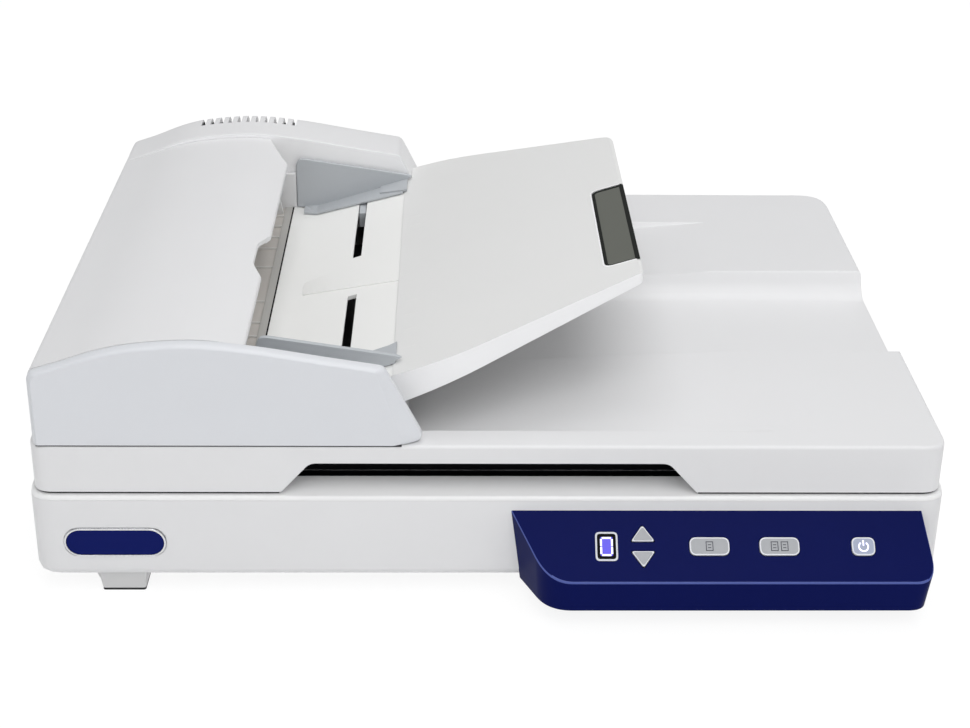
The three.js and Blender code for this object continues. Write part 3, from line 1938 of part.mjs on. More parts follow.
function buildFeeder() {
  const white = 0xe2e2e4;
  const grey = 0xa8acaf;
  add("feeder_frame", feederFrame(), white, 0.5);
  add("feeder_front_cap", frontCap(), 0xdcdde2, 0.45);
  add("feeder_rear_cap", rearCap(), 0xdcdde2, 0.45);
  add("top_cover", cover(), white, 0.45);
  add("feed_bed", bed(), 0xe0e0df, 0.5);
  add("path_guide", pathGuide(), 0x96918c, 0.55);
  add(
    "separation_pad",
    box(
      feedX - padPlateLength / 2,
      feedX + padPlateLength / 2,
      feedCentre - padPlateWidth / 2,
      feedCentre + padPlateWidth / 2,
      pathFloorZ,
      feedZ - feedRadius - nip,
    ),
    0x3a3a3c,
    0.9,
  );
  add("input_tray", tray(), 0xdcdcdb, 0.5);
  add("tray_extension", extension(), 0x5a5c56, 0.5);
  add("guide_rear", guide(1), grey, 0.45);
  add("guide_front", guide(-1), grey, 0.45);
  add(
    "guide_pinion",
    gear("z", slotX, feedCentre, rackBottom, rackTop, pinionTeeth, rackModule, 0, pinionAxle + gap),
    0xe8e4d8,
    0.5,
  );
  const rubber = 0x2e2f31;
  const one = [0];
  const three = [-1, 0, 1];
  add(
    "turn_roller",
    roller(shafts[0], turnRadius, turnRollerWidth, turnRollerSpread, three, turnTeeth),
    rubber,
    0.8,
  );
  add(
    "feed_roller",
    roller(
      shafts[1],
      feedRadius,
      feedRollerWidth,
      0,
      one,
      feedTeeth,
      meshPhase(radians(feedAngle), turnTeeth, 0, feedTeeth),
    ),
    rubber,
    0.8,
  );
  add("pick_roller", roller(shafts[2], pickRadius, pickRollerWidth, 0, one), rubber, 0.8);
  add("read_roller", roller(shafts[3], readRadius, readRollerWidth, 0, one), 0xd8d8d6, 0.7);
  add("exit_roller", roller(shafts[4], exitRadius, exitRollerWidth, exitRollerSpread, three), rubber, 0.8);
  const motorStart = feederRear + feederWall + gap;
  add(
    "feeder_motor",
    join(
      bar("y", feederPinionX, feederPinionZ, motorStart, motorStart + feederMotorLength, feederMotorRadius),
      bar("y", feederPinionX, feederPinionZ, gearFrom, motorStart + gap, motorShaft),
    ),
    0x9a9da2,
    0.35,
    0.9,
  );
  add(
    "feeder_pinion",
    gear(
      "y",
      feederPinionX,
      feederPinionZ,
      gearFrom,
      gearTo,
      feederPinionTeeth,
      feederModule,
      meshPhase(radians(feederMotorAngle), turnTeeth, 0, feederPinionTeeth),
      motorShaft + gap,
    ),
    0xb89a4a,
    0.35,
    0.9,
  );
  add(
    "exit_chute",
    prism(
      "y",
      outline([
        [chuteStart, chuteLow - chuteThickness],
        [chuteBend, chuteBendZ - chuteThickness],
        [chuteEnd, chuteHigh - chuteThickness],
        [chuteEnd, chuteHigh],
        [chuteBend, chuteBendZ],
        [chuteStart, chuteLow],
      ]),
      plateFrom + gap,
      plateTo - gap,
    ),
    0x3a3b3e,
    0.6,
  );
}

buildBase();
buildPanel();
buildHinges();
buildLid();
buildFeeder();

// The origin moves to the middle of the whole outline, from the panel's front to the hinges' back
const scanner = new THREE.Group();
model.position.y = (panelDepth + rear - hingeY - hingeRadius) / 2;
scanner.add(model);

export default scanner;
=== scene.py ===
import json
import math

import bmesh
import bpy
from mathutils import Matrix, Vector


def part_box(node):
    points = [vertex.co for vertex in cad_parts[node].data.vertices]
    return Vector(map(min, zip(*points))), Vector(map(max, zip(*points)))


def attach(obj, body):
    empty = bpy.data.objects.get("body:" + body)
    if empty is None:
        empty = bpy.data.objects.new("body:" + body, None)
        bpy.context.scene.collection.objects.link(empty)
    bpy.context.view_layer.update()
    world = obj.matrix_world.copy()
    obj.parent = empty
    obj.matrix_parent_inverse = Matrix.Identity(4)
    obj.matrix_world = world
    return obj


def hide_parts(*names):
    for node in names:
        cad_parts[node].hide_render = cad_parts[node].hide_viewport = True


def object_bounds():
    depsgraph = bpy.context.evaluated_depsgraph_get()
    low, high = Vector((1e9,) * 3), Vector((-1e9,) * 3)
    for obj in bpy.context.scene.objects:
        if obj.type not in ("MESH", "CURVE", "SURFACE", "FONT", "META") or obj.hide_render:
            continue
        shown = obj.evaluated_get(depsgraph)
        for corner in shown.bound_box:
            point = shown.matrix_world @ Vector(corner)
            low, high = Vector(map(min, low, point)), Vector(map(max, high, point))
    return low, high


# Flatbed scanner with a sheet feeder. Sizes below are millimetres, measured from the middle of the base.
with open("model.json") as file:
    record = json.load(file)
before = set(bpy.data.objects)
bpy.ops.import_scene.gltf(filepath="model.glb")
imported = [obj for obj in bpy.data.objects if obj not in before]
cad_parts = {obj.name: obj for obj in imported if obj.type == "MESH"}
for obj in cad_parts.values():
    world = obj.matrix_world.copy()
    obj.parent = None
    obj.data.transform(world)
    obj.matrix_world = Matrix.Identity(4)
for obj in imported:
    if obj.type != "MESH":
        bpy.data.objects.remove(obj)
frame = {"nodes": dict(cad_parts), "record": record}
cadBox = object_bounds()
nodes = frame["nodes"]
mm = 0.001
tubLow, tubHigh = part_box("base_tub")
shiftY = (tubLow.y + tubHigh.y) / 2 / mm  # the middle of the base in the frame
print("frame loaded,", len(nodes), "nodes")


# Shader expressions
class Wire:
    def __init__(self, paint, socket):
        self.paint = paint
        self.socket = socket

    def maths(self, operation, *others):
        return self.paint.node("ShaderNodeMath", {"operation": operation}, [self, *others])

    def __add__(self, other):
        return self.maths("ADD", other)

    def __sub__(self, other):
        return self.maths("SUBTRACT", other)

    def __mul__(self, other):
        return self.maths("MULTIPLY", other)

    def __radd__(self, other):
        return self + other

    def __rmul__(self, other):
        return self * other

    def __rsub__(self, other):
        return self.paint.node("ShaderNodeMath", {"operation": "SUBTRACT"}, [other, self])

    def within(self, low, high, start=0.0, end=1.0):
        settings = {"interpolation_type": "SMOOTHSTEP"}
        return self.paint.node("ShaderNodeMapRange", settings, [self, low, high, start, end])

    def mix(self, first, second):
        settings = {"data_type": "RGBA"}
        values = {"Factor": self, "A": first, "B": second}
        return self.paint.node("ShaderNodeMix", settings, values, 2)

    def stretch(self, x, y, z):
        return self.paint.node("ShaderNodeVectorMath", {"operation": "MULTIPLY"}, [self, (x, y, z)])

    def part(self, index):
        return self.paint.node("ShaderNodeSeparateXYZ", {}, [self], index)


class Paint:
    def __init__(self, name, block=None):
        self.material = block or bpy.data.materials.new(name)
        self.material.use_nodes = True
        self.tree = self.material.node_tree
        self.tree.nodes.clear()

    def node(self, kind, settings=None, values=(), output=0):
        made = self.tree.nodes.new(kind)
        for key, value in (settings or {}).items():
            setattr(made, key, value)
        pairs = values.items() if isinstance(values, dict) else enumerate(values)
        for key, value in pairs:
            if isinstance(key, str):
                socket = [s for s in made.inputs if s.name == key and s.enabled][0]
            else:
                socket = made.inputs[key]
            if isinstance(value, Wire):
                self.tree.links.new(value.socket, socket)
            elif isinstance(value, tuple) and socket.type == "RGBA" and len(value) == 3:
                socket.default_value = (*value, 1)
            else:
                socket.default_value = value
        return Wire(self, made.outputs[output] if made.outputs else None)

    def place(self):
        return self.node("ShaderNodeTexCoord", {}, (), 3)

    def noise(self, size, detail=2.0, where=None):
        values = {"Vector": where or self.place(), "Scale": 1 / (size * mm), "Detail": detail}
        return self.node("ShaderNodeTexNoise", {}, values)

    def bump(self, height, strength, depth, edge=0.0):
        values = {"Strength": strength, "Distance": depth * mm, "Height": height}
        if edge > 0:
            values["Normal"] = self.node("ShaderNodeBevel", {"samples": 4}, [edge * mm])
        return self.node("ShaderNodeBump", {}, values)

    def finish(self, values):
        surface = self.node("ShaderNodeBsdfPrincipled", {}, values)
        self.node("ShaderNodeOutputMaterial", {}, {"Surface": surface})
        return self.material


# Screen levels from 0 to 255 as a linear colour
def tone(*levels):
    return tuple(((v / 255 + 0.055) / 1.055) ** 2.4 if v > 10 else v / 255 / 12.92 for v in levels)


def shade(colour, share):
    return tuple(min(1.0, part * share) for part in colour)


# Moulded plastic: cloudy tint, fine grain, uneven gloss and softened edges
mould = {
    "cloud": 70, "smear": 9, "low": 0.3, "high": 0.7, "speck": 0.35, "least": 0.3, "uneven": 0.10,
    "deep": 0.02,
}


def plastic(name, colour, roughness=0.42, grain=0.5, tint=0.03, edge=0.5, grainSize=0.35, gleam=0.5):
    paint = Paint(name)
    cloud = paint.noise(mould["cloud"], 3)
    fine = paint.noise(grainSize, 2)
    smear = paint.noise(mould["smear"], 4)
    dark = shade(colour, 1 - tint)
    base = cloud.within(mould["low"], mould["high"]).mix(dark, shade(colour, 1 + tint / 2))
    return paint.finish({
        "Base Color": (fine * mould["speck"] + mould["least"]).mix(base, dark),
        "Roughness": smear * mould["uneven"] + (roughness - mould["uneven"] / 2),
        "Normal": paint.bump(fine, grain, mould["deep"], edge),
        "Specular IOR Level": gleam,
    })


# Ground metal: fine lines in the gloss and a faint stain
brushed = {
    "stain": 14, "low": 0.35, "high": 0.7, "dull": 0.85, "uneven": 0.25, "under": 0.1, "relief": 0.25,
    "deep": 0.02, "edge": 0.2,
}


def metal(name, colour, roughness, stretch, size=1.2):
    paint = Paint(name)
    lines = paint.noise(size, 4, paint.place().stretch(*stretch))
    stain = paint.noise(brushed["stain"], 3).within(brushed["low"], brushed["high"])
    return paint.finish({
        "Base Color": stain.mix(shade(colour, brushed["dull"]), colour),
        "Metallic": 1.0,
        "Roughness": lines * brushed["uneven"] + (roughness - brushed["under"]),
        "Normal": paint.bump(lines, brushed["relief"], brushed["deep"], brushed["edge"]),
    })


# Rubber: matt, pitted and a little dusty
gum = {
    "dust": 12, "low": 0.45, "high": 0.8, "pale": 2.2, "uneven": 0.2, "matt": 0.7, "relief": 0.6,
    "deep": 0.05, "edge": 0.3,
}


def rubber(name, colour, grainSize=0.5):
    paint = Paint(name)
    grain = paint.noise(grainSize, 3)
    dust = paint.noise(gum["dust"], 4)
    return paint.finish({
        "Base Color": dust.within(gum["low"], gum["high"]).mix(colour, shade(colour, gum["pale"])),
        "Roughness": grain * gum["uneven"] + gum["matt"],
        "Normal": paint.bump(grain, gum["relief"], gum["deep"], gum["edge"]),
    })


# Clear glass with wiped smears
pane = {
    "smear": 40, "low": 0.3, "high": 0.8, "tint": 0.97, "greasyLow": 0.5, "greasyHigh": 0.9,
    "greasy": 0.04, "clean": 0.01, "clear": 0.85, "bend": 1.5,
}


def glass(name, colour):
    paint = Paint(name)
    smear = paint.noise(pane["smear"], 4)
    return paint.finish({
        "Base Color": smear.within(pane["low"], pane["high"]).mix(colour, shade(colour, pane["tint"])),
        "Roughness": smear.within(pane["greasyLow"], pane["greasyHigh"]) * pane["greasy"] + pane["clean"],
        "Transmission Weight": pane["clear"],
        "IOR": pane["bend"],
    })


# Circuit board: solder mask with tracks and pads
solder = {
    "tracks": 260.0, "shift": 0.35, "trackWidth": 0.06, "long": 1.6, "apart": 0.5, "pads": 230.0,
    "scatter": 0.6, "padLow": 0.2, "padHigh": 0.16, "pale": 1.5, "shine": 0.9, "uneven": 0.1,
    "gloss": 0.35, "relief": 0.4, "deep": 0.05,
}


def circuitBoard(name, mask, copper):
    paint = Paint(name)
    where = paint.place()
    tracks = paint.node("ShaderNodeTexBrick", {"offset": solder["shift"]}, {
        "Vector": where, "Scale": solder["tracks"], "Mortar Size": solder["trackWidth"],
        "Brick Width": solder["long"], "Row Height": solder["apart"],
        "Color1": (0, 0, 0), "Color2": (0, 0, 0), "Mortar": (1, 1, 1),
    })
    pads = paint.node("ShaderNodeTexVoronoi", {"distance": "CHEBYCHEV"}, {
        "Vector": where, "Scale": solder["pads"], "Randomness": solder["scatter"],
    })
    onPad = pads.within(solder["padLow"], solder["padHigh"])
    return paint.finish({
        "Base Color": onPad.mix(tracks.mix(mask, shade(mask, solder["pale"])), copper),
        "Metallic": onPad * solder["shine"],
        "Roughness": tracks * solder["uneven"] + solder["gloss"],
        "Normal": paint.bump(tracks, solder["relief"], solder["deep"]),
    })


# Lit plastic with a slightly uneven glow
glowing = {"cloud": 2.5, "low": 0.2, "high": 0.9, "dim": 0.9, "least": 0.85, "uneven": 0.1, "gloss": 0.3}


def lamp(name, colour, strength):
    paint = Paint(name)
    glow = paint.noise(glowing["cloud"], 2)
    spread = glow.within(glowing["low"], glowing["high"])
    return paint.finish({
        "Base Color": glow.mix(shade(colour, glowing["dim"]), colour),
        "Roughness": glow * glowing["uneven"] + glowing["gloss"],
        "Emission Color": spread.mix(shade(colour, glowing["least"]), colour),
        "Emission Strength": strength,
    })


# Finishes of the record's material slots; the numbers are roughness, grain, tint and edge
finishes = {
    "shell_white": plastic("shellWhite", tone(231, 231, 232), 0.40, 0.35, 0.012, 0.6),
    "inner_white": plastic("innerWhite", tone(228, 228, 227), 0.45, 0.35, 0.015, 0.4),
    "panel_navy": plastic("panelNavy", tone(11, 20, 80), 0.36, 0.25, 0.05, 0.3, gleam=0.03),
    "guide_grey": plastic("guideGrey", tone(188, 192, 196), 0.40, 0.3, 0.02, 0.4),
    "path_grey": plastic("pathGrey", tone(216, 211, 205), 0.45, 0.3, 0.03, 0.3),
    "button_grey": plastic("buttonGrey", tone(163, 165, 169), 0.36, 0.2, 0.02, 0.3),
    "badge_blue": plastic("badgeBlue", tone(14, 26, 96), 0.25, 0.1, 0.05, 0.3, gleam=0.05),
    "extension_grey": plastic("extensionGrey", tone(98, 100, 93), 0.32, 0.35, 0.04, 0.4),
    "foot_rubber": rubber("footRubber", tone(30, 30, 32)),
    "roller_rubber": rubber("rollerRubber", tone(58, 59, 62), 0.8),
    "belt_rubber": rubber("beltRubber", tone(34, 34, 36), 0.6),
    "window_glass": glass("windowGlass", tone(232, 240, 238)),
    "steel": metal("groundSteel", (0.60, 0.61, 0.63), 0.28, (1, 1, 1)),
    "brass": metal("turnedBrass", (0.72, 0.56, 0.25), 0.3, (1, 6, 1)),
    "black_plastic": plastic("blackPlastic", tone(42, 42, 45), 0.5, 0.5, 0.08, 0.3),
    "gear_nylon": plastic("gearNylon", tone(232, 227, 212), 0.45, 0.2, 0.02, 0.2),
    "board_green": circuitBoard("solderMask", tone(28, 98, 60), (0.75, 0.60, 0.35)),
    "pad_white": plastic("padWhite", tone(240, 240, 238), 0.7, 0.8, 0.01, 0.8, grainSize=0.6),
}

# Finishes of the scene's own pieces
capWhite = plastic("capWhite", tone(223, 225, 229), 0.40, 0.35, 0.012, 0.3)
trayWhite = plastic("trayWhite", tone(231, 231, 230), 0.42, 0.35, 0.012, 0.3)
# Painted shade: a darker copy of the tray's white for its underside, to deepen the shadow under the tray
trayUnder = plastic("trayUnder", tone(218, 218, 217), 0.5, 0.35, 0.02, 0.2)
# Painted light: a lighter copy of the white for the tray's skirt, the rear cap's inner wall and the
# recess lip
skirtWhite = plastic("skirtWhite", tone(249, 249, 250), 0.42, 0.35, 0.01, 0.3)
# Painted light: the feed bed takes a lighter white than the shell, against the shade of the caps
bedWhite = plastic("bedWhite", tone(246, 246, 244), 0.42, 0.3, 0.01, 0.2)
# Painted light: the deck takes a lighter white, against the shade in the finger notch
deckWhite = plastic("deckWhite", tone(246, 246, 246), 0.42, 0.3, 0.01, 0.3)
# Painted highlight: the path's ribs take a lighter tone than the path floor
ribWhite = plastic("ribWhite", tone(226, 224, 220), 0.45, 0.2, 0.02, 0.1)
# Painted shade: the foot blocks take a darker grey than the shell they stand for
footGrey = plastic("footGrey", tone(214, 214, 214), 0.5, 0.2, 0.02, 0.2)
pathEdge = plastic("pathEdge", tone(190, 188, 184), 0.45, 0.2, 0.02, 0.1)
# Painted highlight: a lighter blue for the control panel's upper rim
panelEdge = plastic("panelEdge", tone(78, 92, 160), 0.3, 0.1, 0.03, 0.2, gleam=0.2)
keyRim = plastic("keyRim", tone(226, 228, 233), 0.36, 0.15, 0.01, 0.1)
powerFace = plastic("powerFace", tone(160, 168, 190), 0.36, 0.15, 0.02, 0.1)
smokeRim = plastic("smokeRim", tone(30, 32, 30), 0.4, 0.2, 0.03, 0.2, gleam=0.1)
seamShade = plastic("seamShade", tone(70, 71, 74), 0.6, 0.1, 0.02, 0, gleam=0.1)
markShade = plastic("markShade", tone(236, 236, 235), 0.5, 0.1, 0.01, 0)
darkWell = plastic("darkWell", tone(6, 6, 8), 0.6, 0.1, 0.05, 0.2, gleam=0.08)
darkInk = plastic("darkInk", tone(58, 60, 72), 0.5, 0.1, 0.02, 0.1)
whiteInk = plastic("whiteInk", tone(214, 216, 222), 0.4, 0.1, 0.01, 0.1)
silverRim = metal("silverRim", (0.82, 0.83, 0.85), 0.25, (1, 1, 1), 0.6)
violetGlow = lamp("violetGlow", tone(72, 60, 204), 0.5)
whiteGlow = lamp("whiteGlow", tone(226, 224, 255), 1.1)
print("materials made,", len(bpy.data.materials))


# Mesh tools
closest = 0.05  # an outline keeps no two points nearer than this
weld = 0.002  # points of a solid nearer than this become one
flat = 0.4  # faces at less than this angle become one, in degrees


def at(x, y, z):
    return Vector((x * mm, (y + shiftY) * mm, z * mm))


# Points of a closed outline; a third number is how far a corner's rounding runs along its sides
def rounded(points, steps=8):
    line = []
    for i, point in enumerate(points):
        here = Vector(point[:2])
        size = point[2] if len(point) > 2 else 0
        if size <= 0:
            line.append(here)
            continue
        before = Vector(points[i - 1][:2]) - here
        after = Vector(points[(i + 1) % len(points)][:2]) - here
        first = here + before.normalized() * size
        last = here + after.normalized() * size
        for k in range(steps + 1):
            t = k / steps
            line.append(first * (1 - t) ** 2 + here * 2 * t * (1 - t) + last * t * t)
    return [p for i, p in enumerate(line) if (p - line[i - 1]).length > closest]


def box(x0, x1, y0, y1):
    return [(x0, y0), (x1, y0), (x1, y1), (x0, y1)]


def cornered(x0, x1, y0, y1, size, steps=8):
    return rounded([(x, y, size) for x, y in box(x0, x1, y0, y1)], steps)


# Where a point of an outline drawn across an axis lies
def across(axis, u, v, along):
    return {"x": (along, u, v), "y": (u, along, v), "z": (u, v, along)}[axis]


def meshFrom(name, points, faces):
    mesh = bpy.data.meshes.new(name)
    mesh.from_pydata(points, [], faces)
    made = bpy.data.objects.new(name, mesh)
    bpy.context.scene.collection.objects.link(made)
    tool = bmesh.new()
    tool.from_mesh(mesh)
    bmesh.ops.recalc_face_normals(tool, faces=tool.faces)
    tool.to_mesh(mesh)
    tool.free()
    return made


# Rings of points, each given as (outline, along), skinned and closed at both ends
def skin(name, axis, rings, matrix=None):
    points, faces = [], []
    count = len(rings[0][0])
    for line, along in rings:
        for k, (u, v) in enumerate(line):
            spot = across(axis, u, v, along[k] if isinstance(along, list) else along)
            points.append(matrix @ Vector(spot) if matrix else Vector(spot))
    for r in range(len(rings) - 1):
        for k in range(count):
            n = (k + 1) % count
            faces.append((r * count + k, r * count + n, (r + 1) * count + n, (r + 1) * count + k))
    faces.append(tuple(range(count)))
    faces.append(tuple((len(rings) - 1) * count + k for k in range(count)))
    return meshFrom(name, [at(*p) for p in points], faces)


# The outline moved inwards by one size, or by one for each point
def inward(line, size):
    count = len(line)
    turn = sum(line[i - 1].x * line[i].y - line[i].x * line[i - 1].y for i in range(count))
    sign = 1 if turn > 0 else -1
    moved = []
    for i, here in enumerate(line):
        a = (here - line[i - 1]).normalized()
        b = (line[(i + 1) % count] - here).normalized()
        if a.length == 0:
            a = b
        if b.length == 0:
            b = a
        normal = Vector((-(a.y + b.y), a.x + b.x)) * sign
        step = size[i] if isinstance(size, list) else size
        stretch = 1 / max(0.5, math.sqrt(max(0.0, (1 + a.dot(b)) / 2)))
        moved.append(here + normal.normalized() * step * stretch)
    return moved


# A prism with rounded rims: low and high are the rim sizes at its two ends
def prism(name, axis, line, start, end, low=0.0, high=0.0, steps=5, matrix=None):
    line = [Vector(p[:2]) for p in line]
    rings = []
    for k in range(steps + 1 if low > 0 else 1):
        turn = math.pi / 2 * (k / steps if low > 0 else 1)
        rings.append((inward(line, low * (1 - math.sin(turn))), start + low * (1 - math.cos(turn))))
    for k in range(steps + 1 if high > 0 else 1):
        turn = math.pi / 2 * (1 - k / steps if high > 0 else 1)
        rings.append((inward(line, high * (1 - math.sin(turn))), end - high * (1 - math.cos(turn))))
    return skin(name, axis, rings, matrix)


def combine(made, operation, *tools):
    for tool in tools:
        change = made.modifiers.new("join", "BOOLEAN")
        change.object = tool
        change.operation = operation
        change.solver = "MANIFOLD"
        bpy.context.view_layer.update()
        reading = made.evaluated_get(bpy.context.evaluated_depsgraph_get())
        mesh = bpy.data.meshes.new_from_object(reading)
        made.modifiers.clear()
        made.data = mesh
        bpy.data.objects.remove(tool)
    return made


def cut(made, *tools):
    return combine(made, "DIFFERENCE", *tools)


def join(made, *tools):
    return combine(made, "UNION", *tools)


def common(made, *tools):
    return combine(made, "INTERSECT", *tools)


# A mesh opened for editing, with single points and whole flat faces
def opened(mesh):
    tool = bmesh.new()
    tool.from_mesh(mesh)
    bmesh.ops.remove_doubles(tool, verts=tool.verts, dist=weld * mm)
    bmesh.ops.dissolve_limit(tool, angle_limit=math.radians(flat), verts=tool.verts, edges=tool.edges)
    return tool


# Rounds the edges whose middle a test picks, and whose run rises less than level
def ease(made, width, test, segments=3, sharper=25, level=1.1):
    tool = opened(made.data)
    picked = []
    for edge in tool.edges:
        if len(edge.link_faces) != 2 or edge.calc_face_angle(0) < math.radians(sharper):
            continue
        a, b = (v.co / mm for v in edge.verts)
        middle = (a + b) / 2 - Vector((0, shiftY, 0))
        if test(middle) and abs((b - a).normalized().z) < level:
            picked.append(edge)
    if picked:
        bmesh.ops.bevel(
            tool, geom=picked, offset=width * mm, offset_type="OFFSET", segments=segments,
            profile=0.5, affect="EDGES", clamp_overlap=True, material=0,
        )
    tool.to_mesh(made.data)
    tool.free()
    return made


def smooth(made, angle):
    made.data.shade_smooth()
    made.data.set_sharp_from_angle(angle=math.radians(angle))
    weigh = made.modifiers.new("normals", "WEIGHTED_NORMAL")
    weigh.keep_sharp = True
    return made


# Gives a piece its finish, its body and the CAD nodes that it stands for
def settle(made, body, finish, slot=None, stands=(), angle=32, edging=()):
    slot = slot or (finish if isinstance(finish, str) else None)
    marks = [face.material_index for face in made.data.polygons]
    made.data.materials.clear()
    made.data.materials.append(finishes[finish] if isinstance(finish, str) else finish)
    for extra in edging:
        made.data.materials.append(extra)
    if edging:
        made.data.polygons.foreach_set("material_index", marks)
    smooth(made, angle)
    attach(made, body)
    if stands:
        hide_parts(*stands)
    return made


# A copy of a CAD node's solid with clean flat faces
def copied(node, name):
    made = bpy.data.objects.new(name, nodes[node].data.copy())
    made.data.materials.clear()
    bpy.context.scene.collection.objects.link(made)
    tool = opened(made.data)
    clean = bpy.data.meshes.new(name)
    tool.to_mesh(clean)
    tool.free()
    made.data = clean
    return made


# A closed circle of points
def circle(x, z, radius, steps=32):
    turns = [2 * math.pi * k / steps for k in range(steps)]
    return [Vector((x + radius * math.cos(t), z + radius * math.sin(t))) for t in turns]


# A soft step from 0 to 1 between two values
def ramp(value, low, high):
    share = max(0.0, min(1.0, (value - low) / (high - low)))
    return share * share * (3 - 2 * share)


# Several closed pieces in one mesh, without cutting them into each other
def gather(name, parts):
    tool = bmesh.new()
    for part in parts:
        tool.from_mesh(part.data)
        bpy.data.objects.remove(part)
    mesh = bpy.data.meshes.new(name)
    tool.to_mesh(mesh)
    tool.free()
    made = bpy.data.objects.new(name, mesh)
    bpy.context.scene.collection.objects.link(made)
    return made


# Flat tiles of one height as one piece
def tiles(name, lines, low, high, edge=0.0, matrix=None):
    return gather(name, [prism("tile", "z", line, low, high, 0, edge, 2, matrix) for line in lines])


# Base
base = {
    "halfWidth": 250, "halfDepth": 176.75, "frontCorner": 14, "rearCorner": 22, "rim": 61.7,
    "deck": 64, "under": 12, "sealFront": -155.4, "sealRear": -149.9, "sealHalf": 116,
    "sealHeight": 0.35, "sealEdge": 0.2, "rimBand": 0.2, "edge": 0.35, "sink": 0.1, "level": 0.5,
}
frontFace = -base["halfDepth"]


def bodyOutline(inset, steps=12):
    w = base["halfWidth"] - inset
    d = base["halfDepth"] - inset
    f, r = base["frontCorner"] - inset, base["rearCorner"] - inset
    return rounded([(-w, -d, f), (w, -d, f), (w, d, r), (-w, d, r)], steps)


def onTubRim(middle):
    return middle.z > base["rim"] - base["rimBand"]


tub = ease(copied("base_tub", "tubShell"), base["edge"], onTubRim, level=base["level"])
settle(tub, "base", "shell_white", stands=["base_tub"])
# The deck's lighter white is painted light
settle(copied("base_deck", "deckShell"), "base", deckWhite, "shell_white", ["base_deck"])
# Painted shade: a dark strip on the deck at the back of the finger notch, where its shadow falls
deckShade = prism(
    "deckSeal", "z", box(-base["sealHalf"], base["sealHalf"], base["sealFront"], base["sealRear"]),
    base["deck"] - base["sink"], base["deck"] + base["sealHeight"], 0, base["sealEdge"], 2,
)
settle(deckShade, "base", darkWell, "foot_rubber")

# Ruler beside the glass: one tick every five millimetres, the tens longer
ruler = {
    "left": -138, "right": 220, "front": 113.4, "depth": 6.4, "corner": 1, "thick": 0.12, "edge": 0.06,
    "step": 5, "short": 2.2, "long": 4.2, "line": 0.35, "margin": 0.5, "ink": 0.17,
}
rear = ruler["front"] + ruler["depth"]
line = cornered(ruler["left"], ruler["right"], ruler["front"], rear, ruler["corner"], 3)
low, high = base["deck"] - base["sink"], base["deck"] + ruler["thick"]
plate = prism("rulerPlate", "z", line, low, high, 0, ruler["edge"], 2)
settle(plate, "base", "inner_white")
ticks = []
for k in range(1, int((ruler["right"] - ruler["left"]) / ruler["step"])):
    x, half = ruler["left"] + k * ruler["step"], ruler["line"] / 2
    reach = ruler["long"] if k % 2 == 0 else ruler["short"]
    start = ruler["front"] + ruler["margin"]
    ticks.append(box(x - half, x + half, start, start + reach))
marked = tiles("rulerTicks", ticks, base["deck"] + base["sink"], base["deck"] + ruler["ink"])
settle(marked, "base", darkInk, "inner_white")

# Bare badge: a blue pill in a bright rim
badge = {
    "x": -204.3, "z": 34.9, "width": 55.6, "height": 18, "rim": 1.0, "proud": 0.7, "deep": 1.2,
    "play": 0.02, "set": 0.25, "plateEdge": 0.4, "rimEdge": 0.35, "past": 3,
}


def pill(x, z, width, height, steps=12):
    w, h = width / 2, height / 2
    line = []
    for side in (1, -1):
        for k in range(steps + 1):
            turn = math.pi / 2 - math.pi * k / steps
            line.append(Vector((x + side * (w - h + h * math.cos(turn)), z + side * h * math.sin(turn))))
    return line


def badgeLine(inset):
    return pill(badge["x"], badge["z"], badge["width"] - 2 * inset, badge["height"] - 2 * inset)


badgeFace = frontFace - badge["proud"]
badgeBack = badgeFace + badge["deep"]
line = badgeLine(badge["rim"])
plate = prism("badgePlate", "y", line, badgeFace + badge["set"], badgeBack, badge["plateEdge"])
settle(plate, "base", "badge_blue", stands=["badge_plate"])
rim = prism("badgeRim", "y", badgeLine(0), badgeFace, badgeBack, badge["rimEdge"])
line = badgeLine(badge["rim"] - badge["play"])
hole = prism("badgeHole", "y", line, badgeFace - badge["past"], badgeBack + badge["past"])
settle(cut(rim, hole), "base", silverRim, "badge_blue")

# Feet: a tapered block under each corner with a rubber pad; the block's darker grey is painted shade
# under the base
foot = {
    "inset": 47.5, "top": 13.7, "tip": 12, "reach": 26, "front": 4.0, "lean": 0.8, "corner": 1.6,
    "into": 0.6, "pad": 1.5, "padSet": 0.05, "padEdge": 0.2, "lap": 0.1,
}
corners = {"front_left": (-1, -1), "front_right": (1, -1), "rear_left": (-1, 1), "rear_right": (1, 1)}
for end, (toX, toY) in corners.items():
    x = toX * (base["halfWidth"] - foot["inset"])
    outer = base["halfDepth"] - foot["front"]

    # The block's outline, with its outer side moved back
    def sole(half, back):
        y0, y1 = sorted((toY * (outer - back), toY * (outer - foot["reach"])))
        return cornered(x - half, x + half, y0, y1, foot["corner"], 4)

    block = skin("footBlock." + end, "z", [
        (sole(foot["tip"], foot["lean"]), foot["pad"]),
        (sole(foot["top"], 0), base["under"] + foot["into"]),
    ])
    settle(block, "base", footGrey, "shell_white")
    line = sole(foot["tip"] - foot["padSet"], foot["lean"] + foot["padSet"])
    pad = prism("footPad." + end, "z", line, 0, foot["pad"] + foot["lap"], foot["padEdge"])
    settle(pad, "base", "foot_rubber", stands=["foot_pad_" + end])

# Screws in the tub's floor
screw = {
    "radius": 3.2, "low": 11.6, "into": 0.4, "edge": 0.5, "slot": 0.8, "cross": 4.4, "past": 1,
    "deep": 0.5, "spots": ((-150, -120), (0, -150), (150, -120), (-150, 120), (0, 150), (150, 120)),
}
for k, (x, y) in enumerate(screw["spots"]):
    low = screw["low"]
    line = circle(x, y, screw["radius"], 24)
    head = prism(f"floorScrew.{k}", "z", line, low, base["under"] + screw["into"], screw["edge"])
    half, reach = screw["slot"] / 2, screw["cross"] / 2
    for w, d in ((reach, half), (half, reach)):
        line = box(x - w, x + w, y - d, y + d)
        cut(head, prism("slot", "z", line, low - screw["past"], low + screw["deep"]))
    settle(head, "base", "steel")
print("base made")

